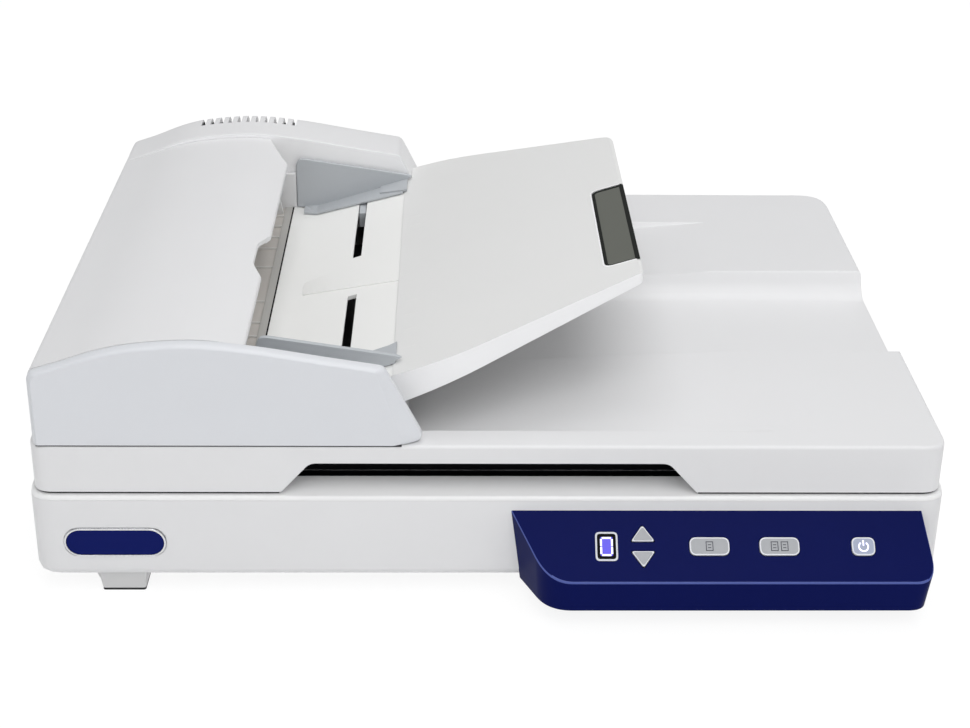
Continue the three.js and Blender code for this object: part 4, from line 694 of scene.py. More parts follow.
# Control panel
panel = {
    "top": 55.5, "low": 29, "bottom": 10.6, "depth": 30, "edge": 0.6, "floorEdge": 1.2, "wall": 2.2,
    "into": 0.4, "left": 11.8, "leftFoot": 17.5, "frontLeft": 31.6, "frontRight": 241.5,
    "right": 236.6, "frontRightFoot": 238.6, "rightFoot": 236, "leftRound": 13, "rightRound": 11,
    "slant": 1.33, "steps": 4, "rimBand": 1.2, "rimTurn": 0.05, "rimUp": 0.15, "slack": 0.35,
    "past": 6, "pastLow": 2,
}
panelTilt = math.atan((panel["top"] - panel["low"]) / panel["depth"])
onPanel = Matrix.Translation((0, frontFace - panel["depth"] / 2, (panel["top"] + panel["low"]) / 2))
onPanel = onPanel @ Matrix.Rotation(panelTilt, 4, "X")
panelFront = frontFace - panel["depth"]


def panelZ(y):
    return panel["low"] + (y - panelFront) * (panel["top"] - panel["low"]) / panel["depth"]


# Outline of the panel at its top face (share 1) or at its floor (share 0)
def panelLine(share, inset=0.0):
    left = panel["leftFoot"] + (panel["left"] - panel["leftFoot"]) * share + inset
    right = panel["rightFoot"] + (panel["right"] - panel["rightFoot"]) * share - inset
    wall, front = frontFace + panel["into"], panelFront + inset
    tip = panel["frontRightFoot"] + (panel["frontRight"] - panel["frontRightFoot"]) * share - inset
    return rounded([
        (left, wall), (panel["frontLeft"] + inset, front, panel["leftRound"]),
        (tip, front, panel["rightRound"]), (right, wall),
    ], 12)


# The panel's body, or with a wall the room inside it
def panelBlock(name, wall=0.0):
    rings = []
    for k in range(panel["steps"] + 1):
        turn = math.pi / 2 * k / panel["steps"]
        size = 0 if wall else panel["floorEdge"]
        line = panelLine(0, wall + size * (1 - math.sin(turn)))
        rings.append((line, panel["bottom"] + wall + size * (1 - math.cos(turn))))
    for k in range(panel["steps"] + 1):
        turn = math.pi / 2 * (1 - k / panel["steps"])
        size = 0 if wall else panel["edge"]
        line = panelLine(1, wall + size * (1 - math.sin(turn)))
        down = panel["slant"] * wall
        rings.append((line, [panelZ(p.y) - down - size * (1 - math.cos(turn)) for p in line]))
    return skin(name, "z", [rings[0], rings[-1]] if wall else rings)


# A prism that stands on the panel's slanted face
def panelPrism(name, line, low, high, edge=0.0, steps=2):
    return prism(name, "z", line, low, high, 0, edge, steps, onPanel)


housing = cut(panelBlock("panelHousing"), panelBlock("room", panel["wall"]))

arrows = {"x": 83, "width": 13, "height": 9, "gap": 5.4, "round": 1.6, "border": 0.6}
keys = {
    "top": 0.9, "low": -4.6, "rim": 0.3, "border": 0.75, "sink": 0.2, "rise": 0.05, "faceEdge": 0.04,
    "single": 119, "double": 157, "power": 202.6,
    # Half the width, half the height and the corner
    "size": (10.8, 4.95, 3.8), "powerSize": (6.3, 5.0, 3.6),
}


# Outlines of the buttons, grown by a margin
def arrowLine(side, grow):
    low = side * (arrows["gap"] / 2 - grow)
    tip = side * (arrows["gap"] / 2 + arrows["height"] + 2 * grow)
    reach = arrows["width"] / 2 + 2 * grow
    x, bend = arrows["x"], arrows["round"]
    return rounded([(x - side * reach, low, bend), (x + side * reach, low, bend), (x, tip, bend)], 6)


def keyLine(x, size, grow):
    w, h, corner = size
    return cornered(x - w - grow, x + w + grow, -h - grow, h + grow, corner + grow)


keyTable = {
    "up": lambda grow: arrowLine(1, grow),
    "down": lambda grow: arrowLine(-1, grow),
    "single": lambda grow: keyLine(keys["single"], keys["size"], grow),
    "double": lambda grow: keyLine(keys["double"], keys["size"], grow),
    "power": lambda grow: keyLine(keys["power"], keys["powerSize"], grow),
}
for key, shape in keyTable.items():
    low = keys["low"] - panel["pastLow"]
    cut(housing, panelPrism("opening", shape(panel["slack"]), low, panel["past"]))
    keyCap = panelPrism("keyCap." + key, shape(0), keys["low"], keys["top"], keys["rim"], 5)
    settle(keyCap, key + "_key", keyRim, "button_grey", ["button_" + key])
    border = keys["border"] * (arrows["border"] if key in ("up", "down") else 1)
    low, high = keys["top"] - keys["sink"], keys["top"] + keys["rise"]
    face = panelPrism("keyFace." + key, shape(-border), low, high, keys["faceEdge"])
    settle(face, key + "_key", powerFace if key == "power" else "button_grey", "button_grey")

# Painted highlight: the housing's upper rim takes a lighter blue
for face in housing.data.polygons:
    spot = face.center / mm - Vector((0, shiftY, 0))
    lean = abs(face.normal.z - math.cos(panelTilt)) > panel["rimTurn"] and face.normal.z > panel["rimUp"]
    if lean and abs(spot.z - panelZ(spot.y)) < panel["rimBand"] and spot.y < frontFace:
        face.material_index = 1
settle(housing, "base", "panel_navy", stands=["panel_housing"], angle=40, edging=[panelEdge])

page = {"width": 3.6, "height": 4.8, "line": 0.42, "bar": 0.8, "margin": 0.9, "apart": 2.7}


# A small page outline with two bars across it
def pageIcon(x):
    w, h, half = page["width"] / 2, page["height"] / 2, page["line"] / 2
    outer = [(x - w, -h), (x + w, -h), (x + w, h), (x - w, h)]
    bars = []
    for (a, b), (c, d) in zip(outer, outer[1:] + outer[:1]):
        bars.append(box(min(a, c) - half, max(a, c) + half, min(b, d) - half, max(b, d) + half))
    for rise in (page["bar"], -page["bar"]):
        bars.append(box(x - w + page["margin"], x + w - page["margin"], rise - half, rise + half))
    return bars


# A band along an arc, out along its outer edge and back along its inner one
def arcBand(x, y, radius, line, start, end, steps=28):
    points = []
    there, back = range(steps + 1), range(steps, -1, -1)
    for reach, turns in ((radius + line / 2, there), (radius - line / 2, back)):
        for k in turns:
            turn = math.radians(start + (end - start) * k / steps)
            points.append(Vector((x + reach * math.cos(turn), y + reach * math.sin(turn))))
    return points


marks = {
    "sink": 0.1, "rise": 0.14, "edge": 0.03, "radius": 2.5, "line": 0.8, "lower": -0.2, "from": 125,
    "to": 415, "stem": 3.3, "stemFrom": 0.3,
}


def keyMark(name, lines, key, finish):
    low, high = keys["top"] - marks["sink"], keys["top"] + marks["rise"]
    settle(tiles(name, lines, low, high, marks["edge"], onPanel), key + "_key", finish, "button_grey")


keyMark("pageMark", pageIcon(keys["single"]), "single", darkInk)
pair = pageIcon(keys["double"] - page["apart"]) + pageIcon(keys["double"] + page["apart"])
keyMark("pairMark", pair, "double", darkInk)
half = marks["line"] / 2
stem = box(keys["power"] - half, keys["power"] + half, marks["stemFrom"], marks["stem"])
ring = arcBand(keys["power"], marks["lower"], marks["radius"], marks["line"], marks["from"], marks["to"])
keyMark("powerMark", [ring, stem], "power", whiteGlow)

# Display: a dark window in a pale frame, lit behind one digit
display = {
    "x": 63.3, "width": 11.6, "height": 15.4, "corner": 2.5, "low": -7.7, "top": 0.12, "edge": 0.1,
    "outside": -0.3, "frame": 0.7, "frameLow": 0.02, "frameTop": 0.45, "frameEdge": 0.2,
    "holeCorner": 0.7, "past": 3, "pastLow": 2, "lit": 2.5, "litCorner": 0.5, "litLow": 0.05,
    "litTop": 0.16, "litEdge": 0.02, "digitWidth": 5.9, "digitHeight": 9.4, "bar": 1.0, "gap": 0.22,
    "barGap": 0.1, "digitLow": 0.1, "digitTop": 0.24, "digitEdge": 0.03,
}


def displayLine(inset, corner):
    w, h, x = display["width"] / 2 - inset, display["height"] / 2 - inset, display["x"]
    return cornered(x - w, x + w, -h, h, corner)


line = displayLine(0, display["corner"])
window = panelPrism("displayGlass", line, display["low"], display["top"], display["edge"])
settle(window, "base", darkWell, "display_window", ["display_window"])
line = displayLine(display["outside"], display["corner"])
ring = panelPrism("displayFrame", line, display["frameLow"], display["frameTop"], display["frameEdge"], 3)
line = displayLine(display["frame"], display["corner"] * display["holeCorner"])
hole = panelPrism("displayHole", line, -display["pastLow"], display["past"])
settle(cut(ring, hole), "base", whiteInk, "display_window")
line = displayLine(display["lit"], display["litCorner"])
window = panelPrism("displayLight", line, display["litLow"], display["litTop"], display["litEdge"])
settle(window, "base", violetGlow, "display_window")


# A nought made of bars
def digit(x):
    w, h = display["digitWidth"] / 2, display["digitHeight"] / 2
    half, gap = display["bar"] / 2, display["gap"]
    bars = []
    for side in (1, -1):
        bars.append(box(x - w + half, x + w - half, side * h - half, side * h + half))
        for end in (1, -1):
            low, high = sorted((end * gap, end * (h - half - display["barGap"])))
            bars.append(box(x + side * w - half, x + side * w + half, low, high))
    return bars


low, high = display["digitLow"], display["digitTop"]
figure = tiles("displayDigit", digit(display["x"]), low, high, display["digitEdge"], onPanel)
settle(figure, "base", whiteGlow, "display_window")
print("panel made")

# Lid: a shell with a ramp under the tray, a trough for the hand and a finger notch
lid = {
    "inset": 2.3, "bottom": 65.4, "top": 94.3, "edge": 1.9, "foot": 0.5, "wall": 2.5, "skin": 2.6,
    "liner": 71.4, "left": -48, "windowLeft": -232, "windowFront": -130, "windowRear": 124,
    "windowLow": 50, "over": 110, "gear": (-224, -186, 121, 128.5), "gearLow": 87, "past": 6,
    "above": 8, "lift": 0.03, "rearFoot": 1.4, "rearTop": 5.4, "leanFrom": 74, "leanTo": 92,
    "rearFrom": 140, "rearTo": 172,
}
rampHollow = {
    "end": 156, "low": 82.3, "start": -35, "front": -158, "rear": 129, "rings": 28, "steps": 10,
    "run": 1.2, "lean": 0.75,
}
trough = {
    "floor": 79.8, "front": -62.5, "frontFoot": -56.5, "rearFoot": 41, "rear": 49.5, "frontTop": 2,
    "frontLow": 5, "rearLow": 9, "rearTop": 1.5, "leftMore": 3,
}
notch = {
    "wide": 113, "narrow": 97, "top": 83.6, "level": 11, "depth": 27, "corner": 3.5, "rim": 2.0,
    "near": 0.3, "beside": 1, "under": 4, "sharper": 40, "liningFrom": 22, "liningHalf": 120,
    "liningLow": 65.5, "liningHigh": 90, "liningGap": 0.12, "liningIn": 1.0, "liningBack": 0.4,
    "liningCorner": 3.4, "liningInner": 2.6, "behind": 1,
}


def rampZ(x):
    rise = (lid["top"] - rampHollow["low"]) / (rampHollow["end"] - rampHollow["start"])
    return rampHollow["low"] + (x - rampHollow["start"]) * rise


# What the ramp, the trough and the notch take out of the lid, grown for the room under its skin
def rampSpace(grow=0.0):
    top = lid["top"] + lid["lift"]
    skinDrop = lid["skin"] if grow else 0
    front, rear, steps = rampHollow["front"] - grow, rampHollow["rear"] + grow, rampHollow["steps"]
    rings = []
    for r in range(rampHollow["rings"] + 1):
        reach = rampHollow["end"] + lid["past"] - lid["left"] + lid["above"]
        x = lid["left"] - lid["above"] + reach * r / rampHollow["rings"]
        low = rampZ(x) - skinDrop
        run = rampHollow["run"] + rampHollow["lean"] * max(0.0, lid["top"] - rampZ(x))
        down = [(k / steps, top + (low - top) * ramp(k / steps, 0, 1)) for k in range(steps + 1)]
        line = [(front + run * t, z) for t, z in down] + [(rear - run * t, z) for t, z in reversed(down)]
        line += [(rear, top + lid["above"]), (front, top + lid["above"])]
        rings.append(([Vector(p) for p in line], x))
    return skin("rampSpace", "x", rings)


def troughSpace(grow=0.0):
    top = lid["top"] + lid["lift"]
    low = trough["floor"] - (lid["skin"] if grow else 0)
    front, rear, past, above = trough["front"] - grow, trough["rear"] + grow, lid["past"], lid["above"]
    line = rounded([
        (front - past, top + above), (front - past, top), (front, top, trough["frontTop"]),
        (trough["frontFoot"], low, trough["frontLow"]), (trough["rearFoot"], low, trough["rearLow"]),
        (rear, top, trough["rearTop"]), (rear + past, top), (rear + past, top + above),
    ], 10)
    return prism("troughSpace", "x", line, lid["left"] - trough["leftMore"], base["halfWidth"] + above)


def notchSpace(grow=0.0, back=0.0, corner=notch["corner"]):
    wide, narrow, top = notch["wide"] + grow, notch["narrow"] + grow, notch["top"] + grow
    low, inner = lid["bottom"] - lid["past"], frontFace + notch["depth"] + grow + back
    level, outside = frontFace + notch["level"], frontFace - lid["past"]
    face = rounded([
        (-wide, low), (wide, low), (wide, lid["bottom"]), (narrow, top, corner), (-narrow, top, corner),
        (-wide, lid["bottom"]),
    ], 8)
    side = [(outside, low), (inner, low), (inner, lid["liner"] + grow), (level, top), (outside, top)]
    return common(prism("notchSpace", "y", face, outside, inner), prism("side", "x", side, -wide, wide))


def walls(line, low, high, name="block"):
    return prism(name, "z", line, low, high)


line = bodyOutline(lid["inset"])
lidShell = prism("lidShell", "z", line, lid["bottom"], lid["top"], lid["foot"], lid["edge"], 6)
for vertex in lidShell.data.vertices:  # the rear leans out towards the top
    lean = ramp(vertex.co.z / mm, lid["leanFrom"], lid["leanTo"])
    lean = lid["rearFoot"] + (lid["rearTop"] - lid["rearFoot"]) * lean
    vertex.co.y += lean * mm * ramp(vertex.co.y / mm - shiftY, lid["rearFrom"], lid["rearTo"])
line = bodyOutline(lid["inset"] + lid["wall"])
hollow = walls(line, lid["bottom"] - lid["past"], lid["top"] - lid["skin"], "hollow")
cut(hollow, rampSpace(lid["wall"]), troughSpace(lid["wall"]), notchSpace(lid["wall"]))
window = box(lid["windowLeft"], lid["left"], lid["windowFront"], lid["windowRear"])
cut(
    lidShell, rampSpace(), troughSpace(), hollow, notchSpace(),
    walls(window, lid["windowLow"], lid["over"]), walls(box(*lid["gear"]), lid["gearLow"], lid["over"]),
)


def onNotch(middle):
    onFront = middle.y < frontFace + lid["inset"] + notch["near"]
    within = abs(middle.x) < notch["wide"] + notch["beside"]
    return onFront and within and middle.z < lid["top"] - notch["under"]


ease(lidShell, notch["rim"], onNotch, 5, notch["sharper"])
settle(lidShell, "lid", "shell_white", stands=["lid_top"])

# Painted shade: a dark piece at the back of the finger notch
half = notch["liningHalf"]
line = box(-half, half, frontFace + notch["liningFrom"], frontFace + notch["depth"] + notch["behind"])
notchShade = common(
    notchSpace(-notch["liningGap"], 0, notch["liningCorner"]),
    walls(line, notch["liningLow"], notch["liningHigh"]),
)
cut(notchShade, notchSpace(-notch["liningIn"], -notch["liningBack"], notch["liningInner"]))
settle(notchShade, "lid", darkWell, "foot_rubber", angle=25)

# Painted shade: a dark strip in the seam around the lid's foot, left open at the notch
shadeStrips = {
    "inset": 3.6, "width": 1.1, "low": 64.15, "high": 65.9, "past": 2, "openLow": 60,
    "openHigh": 70, "openFront": 5, "openRear": 30, "capSet": 0.12, "capLeft": 2.4, "capRight": 12,
    "capLow": 0.35, "capHigh": 0.05,
}
outer = bodyOutline(shadeStrips["inset"])
lidSeal = walls(inward(outer, 0), shadeStrips["low"], shadeStrips["high"], "lidSeal")
inside = walls(inward(outer, shadeStrips["width"]), shadeStrips["low"] - shadeStrips["past"], shadeStrips["high"] + shadeStrips["past"])
half = notch["wide"] + notch["beside"]
line = box(-half, half, frontFace - shadeStrips["openFront"], frontFace + shadeStrips["openRear"])
cut(lidSeal, inside, walls(line, shadeStrips["openLow"], shadeStrips["openHigh"]))
settle(lidSeal, "lid", darkWell, "foot_rubber")
print("lid made")

# Feeder
feeder = {
    "left": -245, "base": 94.6, "front": -166.6, "rear": 132.4, "crest": 156.4, "shoulder": -56.4,
    "foot": -35.4, "footZ": 102, "toe": 0.4, "roll": 4.6, "near": 1, "capFront": -174.45,
    "capRear": 174.45, "centre": -3, "shoulderRound": 3.5, "footRound": 9.5,
}
# The crest's run and height as shares of the caps' width and height
crestShares = [
    (0, 0.673), (0.0901, 0.7605), (0.2015, 0.874), (0.318, 0.940), (0.472, 0.966), (0.636, 0.916),
    (0.822, 0.820), (1, 0.731),
]
crestWidth = feeder["shoulder"] - feeder["left"]
crestHeight = feeder["crest"] - feeder["base"]
crestPoints = [
    Vector((feeder["left"] + x * crestWidth, feeder["base"] + z * crestHeight)) for x, z in crestShares
]


# A point of the smooth curve through the crest's points
def crestAt(share):
    place = share * (len(crestPoints) - 1)
    i = min(int(place), len(crestPoints) - 2)
    t = place - i
    a, b = crestPoints[max(i - 1, 0)], crestPoints[i]
    c, d = crestPoints[i + 1], crestPoints[min(i + 2, len(crestPoints) - 1)]
    u, v = (c - a) / 2, (d - b) / 2
    return (2 * b - 2 * c + u + v) * t ** 3 + (3 * c - 3 * b - 2 * u - v) * t ** 2 + u * t + b


crestSteps = 56
crest = [crestAt(k / crestSteps) for k in range(crestSteps + 1)]


def capLine():
    first, last = crest[0], crest[-1]
    slope = (feeder["foot"] - feeder["shoulder"]) / (last.y - feeder["footZ"])
    toe = feeder["foot"] + feeder["toe"] * slope * (feeder["footZ"] - feeder["base"])
    points = [(feeder["left"], feeder["base"]), (feeder["left"], first.y, feeder["roll"])]
    left = feeder["left"] + feeder["roll"] + feeder["near"]
    right = feeder["shoulder"] - feeder["shoulderRound"] - feeder["near"]
    points += [(p.x, p.y) for p in crest if left < p.x < right]
    points += [(last.x, last.y, feeder["shoulderRound"]), (toe, feeder["base"], feeder["footRound"])]
    return rounded(points, 10)


# End caps: how far each end draws in towards the outer face, and over what length
cap = {
    "left": 3, "right": 11, "leftRun": 12, "rightRun": 34, "endDepth": 5, "fade": 1.6,
    "rearMore": 2.8, "rearLeft": -2.0, "leftFrom": 4, "leftTo": 50,
    "wall": 3.2, "more": 1, "hollowFoot": 8, "hollowPast": 4, "innerTurn": -0.9,
}
# Depth behind the outer face and drop below the crest, from the outer face to the inner one
frontProfile = [
    (0, 2.0), (0.08, 1.6), (0.3, 1.15), (0.7, 0.75), (1.4, 0.4), (2.6, 0.15), (4.2, 0), (6.0, 0),
    (7.0, 0.05), (7.5, 0.3), (7.75, 0.8), (7.85, 1.5),
]
rearProfile = [
    (0, 5.2), (0.1, 4.7), (0.35, 4.2), (0.8, 3.75), (1.8, 3.0), (3.0, 2.1), (4.2, 1.2), (5.2, 0.5),
    (6.6, 0), (12, -0.2), (22, -0.2), (34, 0), (40.4, 0.1), (41.3, 0.2), (41.8, 0.5), (42.0, 0.9),
    (42.05, 1.4),
]


# An end cap, crowned across its thickness; more raises its crest, and moreLeft that of its left end
def capPiece(name, outer, inner, profile, more=0.0, moreLeft=0.0):
    line = capLine()
    left, right = feeder["left"], feeder["foot"]
    side = 1 if inner > outer else -1
    rings = []
    for depth, drop in profile:
        turn = math.pi / 2 * min(1, depth / cap["endDepth"])
        inset = 1 - math.sin(turn)
        points = []
        for p in line:
            leftShare = 1 - ramp(p.x, left, left + cap["leftRun"])
            rightShare = ramp(p.x, right - cap["rightRun"], right)
            x = p.x + inset * (cap["left"] * leftShare - cap["right"] * rightShare)
            rise = (p.y - feeder["base"]) / crestHeight
            lift = more + moreLeft * (1 - ramp(p.x, left + cap["leftFrom"], left + cap["leftTo"]))
            points.append(Vector((x, p.y + lift * rise - drop * min(1, cap["fade"] * rise))))
        rings.append((points, outer + side * depth))
    return skin(name, "y", rings)


frontCap = capPiece("frontCap", feeder["capFront"], feeder["front"], frontProfile)
settle(frontCap, "lid", capWhite, "shell_white", ["feeder_front_cap"])

# The rear cap is hollow, and vents are cut into its crest
outer, inner = feeder["capRear"], feeder["rear"]
rearCap = capPiece("rearCap", outer, inner, rearProfile, cap["rearMore"], cap["rearLeft"])
hollowFoot, hollowEnd = feeder["base"] + cap["hollowFoot"], feeder["base"] - cap["hollowPast"]
line = [(p.x, p.y if p.y > hollowFoot else hollowEnd) for p in inward(capLine(), cap["wall"])]
cut(rearCap, prism("capHollow", "y", line, inner + cap["wall"], outer - cap["wall"] - cap["more"]))
vents = {
    "count": 11, "pitch": 6.27, "width": 2.8, "first": -193.3, "depth": 10, "above": 9,
    "corner": 0.8, "inset": 19, "past": 6, "shade": 0.9, "shadeHigh": 5.5, "shadeLow": 0.5,
    "lap": 0.3,
}
ventFloor = feeder["crest"] - vents["depth"]
ventFront = feeder["capRear"] - vents["inset"]
shades = []
for k in range(vents["count"]):
    x = vents["first"] + k * vents["pitch"]
    half = vents["width"] / 2
    line = cornered(x - half, x + half, ventFloor, feeder["crest"] + vents["above"], vents["corner"], 4)
    cut(rearCap, prism("vent", "y", line, ventFront, feeder["capRear"] + vents["past"]))
    x -= half
    back = feeder["capRear"] - vents["past"]
    shades.append(box(x - vents["lap"], x + vents["shade"], ventFront - vents["lap"], back))
# Painted light: the cap's inner wall takes a lighter white
for face in rearCap.data.polygons:
    if face.normal.y < cap["innerTurn"]:
        face.material_index = 1
settle(rearCap, "lid", "shell_white", stands=["feeder_rear_cap"], edging=[skirtWhite])
# Painted shade: a dark pad low against the side of each vent
shade = tiles("ventShade", shades, ventFloor - vents["shadeLow"], ventFloor + vents["shadeHigh"])
settle(shade, "lid", darkWell, "shell_white")
# Painted shade: dark strips in the seams between the end caps and the lid
for name, y0, y1 in (
    ("capSealFront", feeder["capFront"] + shadeStrips["capSet"], feeder["front"]),
    ("capSealRear", feeder["rear"], feeder["capRear"] - shadeStrips["capSet"]),
):
    line = box(feeder["left"] + shadeStrips["capLeft"], feeder["foot"] - shadeStrips["capRight"], y0, y1)
    strip = walls(line, lid["top"] - shadeStrips["capLow"], feeder["base"] + shadeStrips["capHigh"], name)
    settle(strip, "lid", seamShade, "shell_white")

# Cover over the rollers: a curved skin with a crease, a finger notch and a cut corner
cover = {
    "hingeX": -240.4, "hingeZ": 132.862, "skin": 2.6, "creaseX": -143, "creaseZ": 153.2,
    "edgeX": -129.8, "edgeZ": 149.9, "lip": 2.7, "gap": 0.4, "pin": 2, "pinLength": 2, "past": 6,
    "edge": 0.3, "creaseRun": 6, "creaseRound": 5, "lipRound": 1.6, "notchCentre": -51,
    "notchWide": 29, "notchNarrow": 14, "notchDepth": 6, "notchRound": 2, "notchInner": 3,
    "cornerRun": 15, "cornerFront": 92, "cornerRound": 8, "cornerSweep": 14, "ribs": 9,
    "ribInset": 18, "ribLap": 0.2, "ribEnd": 12, "ribDeep": 3.4, "ribHalf": 0.8,
}
coverFrom = feeder["front"] + cover["gap"]
coverTo = feeder["rear"] - cover["gap"]


def coverBand():
    start = (crest[1] - crest[0]).normalized()
    hinge = Vector((cover["hingeX"], cover["hingeZ"]))
    first = Vector((hinge.x - feeder["roll"] * start.y, hinge.y + feeder["roll"] * start.x))
    outer = [p for p in crest if cover["hingeX"] < p.x < cover["creaseX"] - cover["creaseRun"]]
    inner = []
    for before, here, after in zip(outer, outer[1:], outer[2:]):
        along = (after - before).normalized()
        inner.append(here + Vector((along.y, -along.x)) * cover["skin"])
    lipX, lipZ = cover["edgeX"] - cover["skin"], cover["edgeZ"] - cover["lip"]
    rise = (cover["creaseZ"] - cover["edgeZ"]) / (cover["edgeX"] - cover["creaseX"])
    points = [(cover["hingeX"], cover["hingeZ"]), tuple(first)]
    points += [tuple(p) for p in outer]
    points += [
        (cover["creaseX"], cover["creaseZ"], cover["creaseRound"]),
        (cover["edgeX"], cover["edgeZ"], cover["lipRound"]), (cover["edgeX"], lipZ), (lipX, lipZ),
        (lipX, cover["edgeZ"] - cover["skin"] * (1 - rise)),
        (cover["creaseX"], cover["creaseZ"] - cover["skin"]),
    ]
    points += [tuple(p) for p in reversed(inner)]
    return rounded(points, 6)


coverShell = prism("coverShell", "y", coverBand(), coverFrom, coverTo, cover["edge"], cover["edge"], 2)
middle, wide, narrow = cover["notchCentre"], cover["notchWide"], cover["notchNarrow"]
edge, beyond = cover["edgeX"], cover["edgeX"] + cover["past"]
deep, bend, innerBend = edge - cover["notchDepth"], cover["notchRound"], cover["notchInner"]
fingers = rounded([
    (beyond, middle - wide), (beyond, middle + wide), (edge, middle + wide, bend),
    (deep, middle + narrow, innerBend), (deep, middle - narrow, innerBend), (edge, middle - wide, bend),
], 6)
back, far, cornerX = cover["cornerFront"], coverTo + cover["past"], edge - cover["cornerRun"]
corner = rounded([
    (beyond, back - cover["past"]), (beyond, far), (cornerX, far),
    (cornerX, coverTo, cover["cornerRound"]), (edge, back, cover["cornerSweep"]),
], 8)
high = feeder["crest"] + cover["past"]
cut(coverShell, walls(fingers, feeder["base"], high), walls(corner, feeder["base"], high))
line = circle(cover["hingeX"], cover["hingeZ"], feeder["roll"])
roll = prism("coverRoll", "y", line, coverFrom, coverTo)
line = circle(cover["hingeX"], cover["hingeZ"], cover["pin"], 20)
pin = prism("coverPin", "y", line, coverFrom - cover["pinLength"], coverTo + cover["pinLength"])
join(coverShell, roll, pin)
settle(coverShell, "cover", "shell_white", stands=["top_cover"])

# Ribs under the cover's skin
ribs = []
ribLeft, ribRight = cover["hingeX"] + cover["ribEnd"], cover["creaseX"] - cover["ribEnd"]
line = [(p.x, p.y - cover["skin"] + cover["ribLap"]) for p in crest if ribLeft < p.x < ribRight]
line += [(p[0], p[1] - cover["ribDeep"]) for p in reversed(line)]
span = coverTo - coverFrom - 2 * cover["ribInset"]
for k in range(cover["ribs"]):
    y = coverFrom + cover["ribInset"] + span * k / (cover["ribs"] - 1)
    ribs.append(prism("rib", "y", line, y - cover["ribHalf"], y + cover["ribHalf"]))
settle(gather("coverRibs", ribs), "cover", "shell_white")

# Paper guides: the fin runs on past the CAD's at both ends, with a round shoulder and a beak
guide = {
    "inner": 131, "wall": 2.6, "proud": 0.06, "left": -127.4, "right": -51.6, "beak": -48.2,
    "leftTop": 141.3, "rightTop": 4.8, "rightLow": 1.2, "beakRise": 2.2, "round": 7, "sole": 0.5,
    "edge": 0.6, "toe": -70, "toeLeft": 119.5, "toeRight": 111.5, "toeMore": 0.3, "toePast": 1,
    "toeHalf": 140, "toeTop": -1.9, "toeDeep": -0.45, "low": 80, "high": 190, "soft": 0.5,
    "softFrom": 106.8, "sharper": 50,
}
tray = {
    "slope": math.radians(17.45), "levelX": -113, "levelZ": 105.18, "drop": 0.8, "start": -52.97,
    "corner": -26.8, "tip": 85.5, "half": 150, "tipFront": 109, "tipRear": 103.4, "bend": 26,
    "tipRound": 9, "frontRound": 3, "skin": 1.9, "skirt": 2.5, "deep": 18.5, "shallow": 6.8,
    "edge": 1.0, "rimBand": 0.15, "sharper": 50, "low": 80, "spare": 0.02, "past": 6, "more": 1,
    "capGap": 0.7, "capLap": 0.6, "underTurn": -0.5, "skirtTurn": -0.25, "skirtUp": 0.8,
}


# Heights of the tray's plane and of the bed, whose left stretch is level
def planeZ(x):
    return tray["levelZ"] + math.tan(tray["slope"]) * (x - tray["levelX"])


def bedZ(x):
    return planeZ(max(x, tray["levelX"])) - tray["drop"]


# Frame, bed and ribbed path
bed = {
    "start": -131, "front": -149, "edge": 0.35, "softFrom": 103.8, "sharper": 40, "seamX": -129.6,
    "seam": 0.9, "seamEnd": 1, "seamRise": 0.05, "stripLow": 104.0, "stripHigh": 104.62,
    "margin": 4.4, "path": -186.5, "pathFloor": 103.5, "pathHalf": 121.7, "past": 4, "cutHalf": 140,
    "cutHigh": 120, "blockLeft": -142, "blockTop": 129.5, "blockDepth": 3.2, "blockGap": 0.2,
    "blockCorner": 1, "blockLow": 1, "blockEdge": 0.8, "endGap": 0.6, "endSide": 0.1, "endLap": 0.2,
    "endLow": 1.5, "endRise": 0.02, "ribStart": 1, "ribHalf": 0.7, "ribLow": 103.4,
    "ribHigh": 104.75, "ribEdge": 0.2,
    "ribs": (129.5, 113.7, 96, 78.3, 60, 30.9, -19.1, -47.8, -65.7, -84, -102, -119),
}
settle(copied("feeder_frame", "feederFrame"), "lid", "inner_white", stands=["feeder_frame"])


def onBed(middle):
    return middle.z > bed["softFrom"]


# The bed's lighter white is painted light
bedPlate = ease(copied("feed_bed", "feedBed"), bed["edge"], onBed, 2, bed["sharper"])
settle(bedPlate, "lid", bedWhite, "inner_white", ["feed_bed"])
path = copied("path_guide", "pathGuide")
line = box(bed["path"] - bed["past"], bed["start"] + bed["past"], -bed["cutHalf"], bed["cutHalf"])
cut(path, walls(line, bed["pathFloor"], bed["cutHigh"]))
settle(path, "lid", "path_grey", stands=["path_guide"])
marginLeft, seamLeft = bed["start"] - bed["margin"], bed["seamX"] - bed["seam"]
rear = feeder["rear"] - bed["seamEnd"]
line = box(marginLeft, seamLeft, feeder["centre"] - bed["pathHalf"], rear)
settle(walls(line, bed["stripLow"], bed["stripHigh"], "pathMargin"), "lid", pathEdge, "path_grey")
# Painted shade: a dark strip in the gap at the bed's left edge
line = box(seamLeft, bed["seamX"], bed["front"] + bed["seamEnd"], rear)
seam = walls(line, bed["stripLow"], bed["stripHigh"] + bed["seamRise"], "bedSeam")
settle(seam, "lid", darkWell, "path_grey")

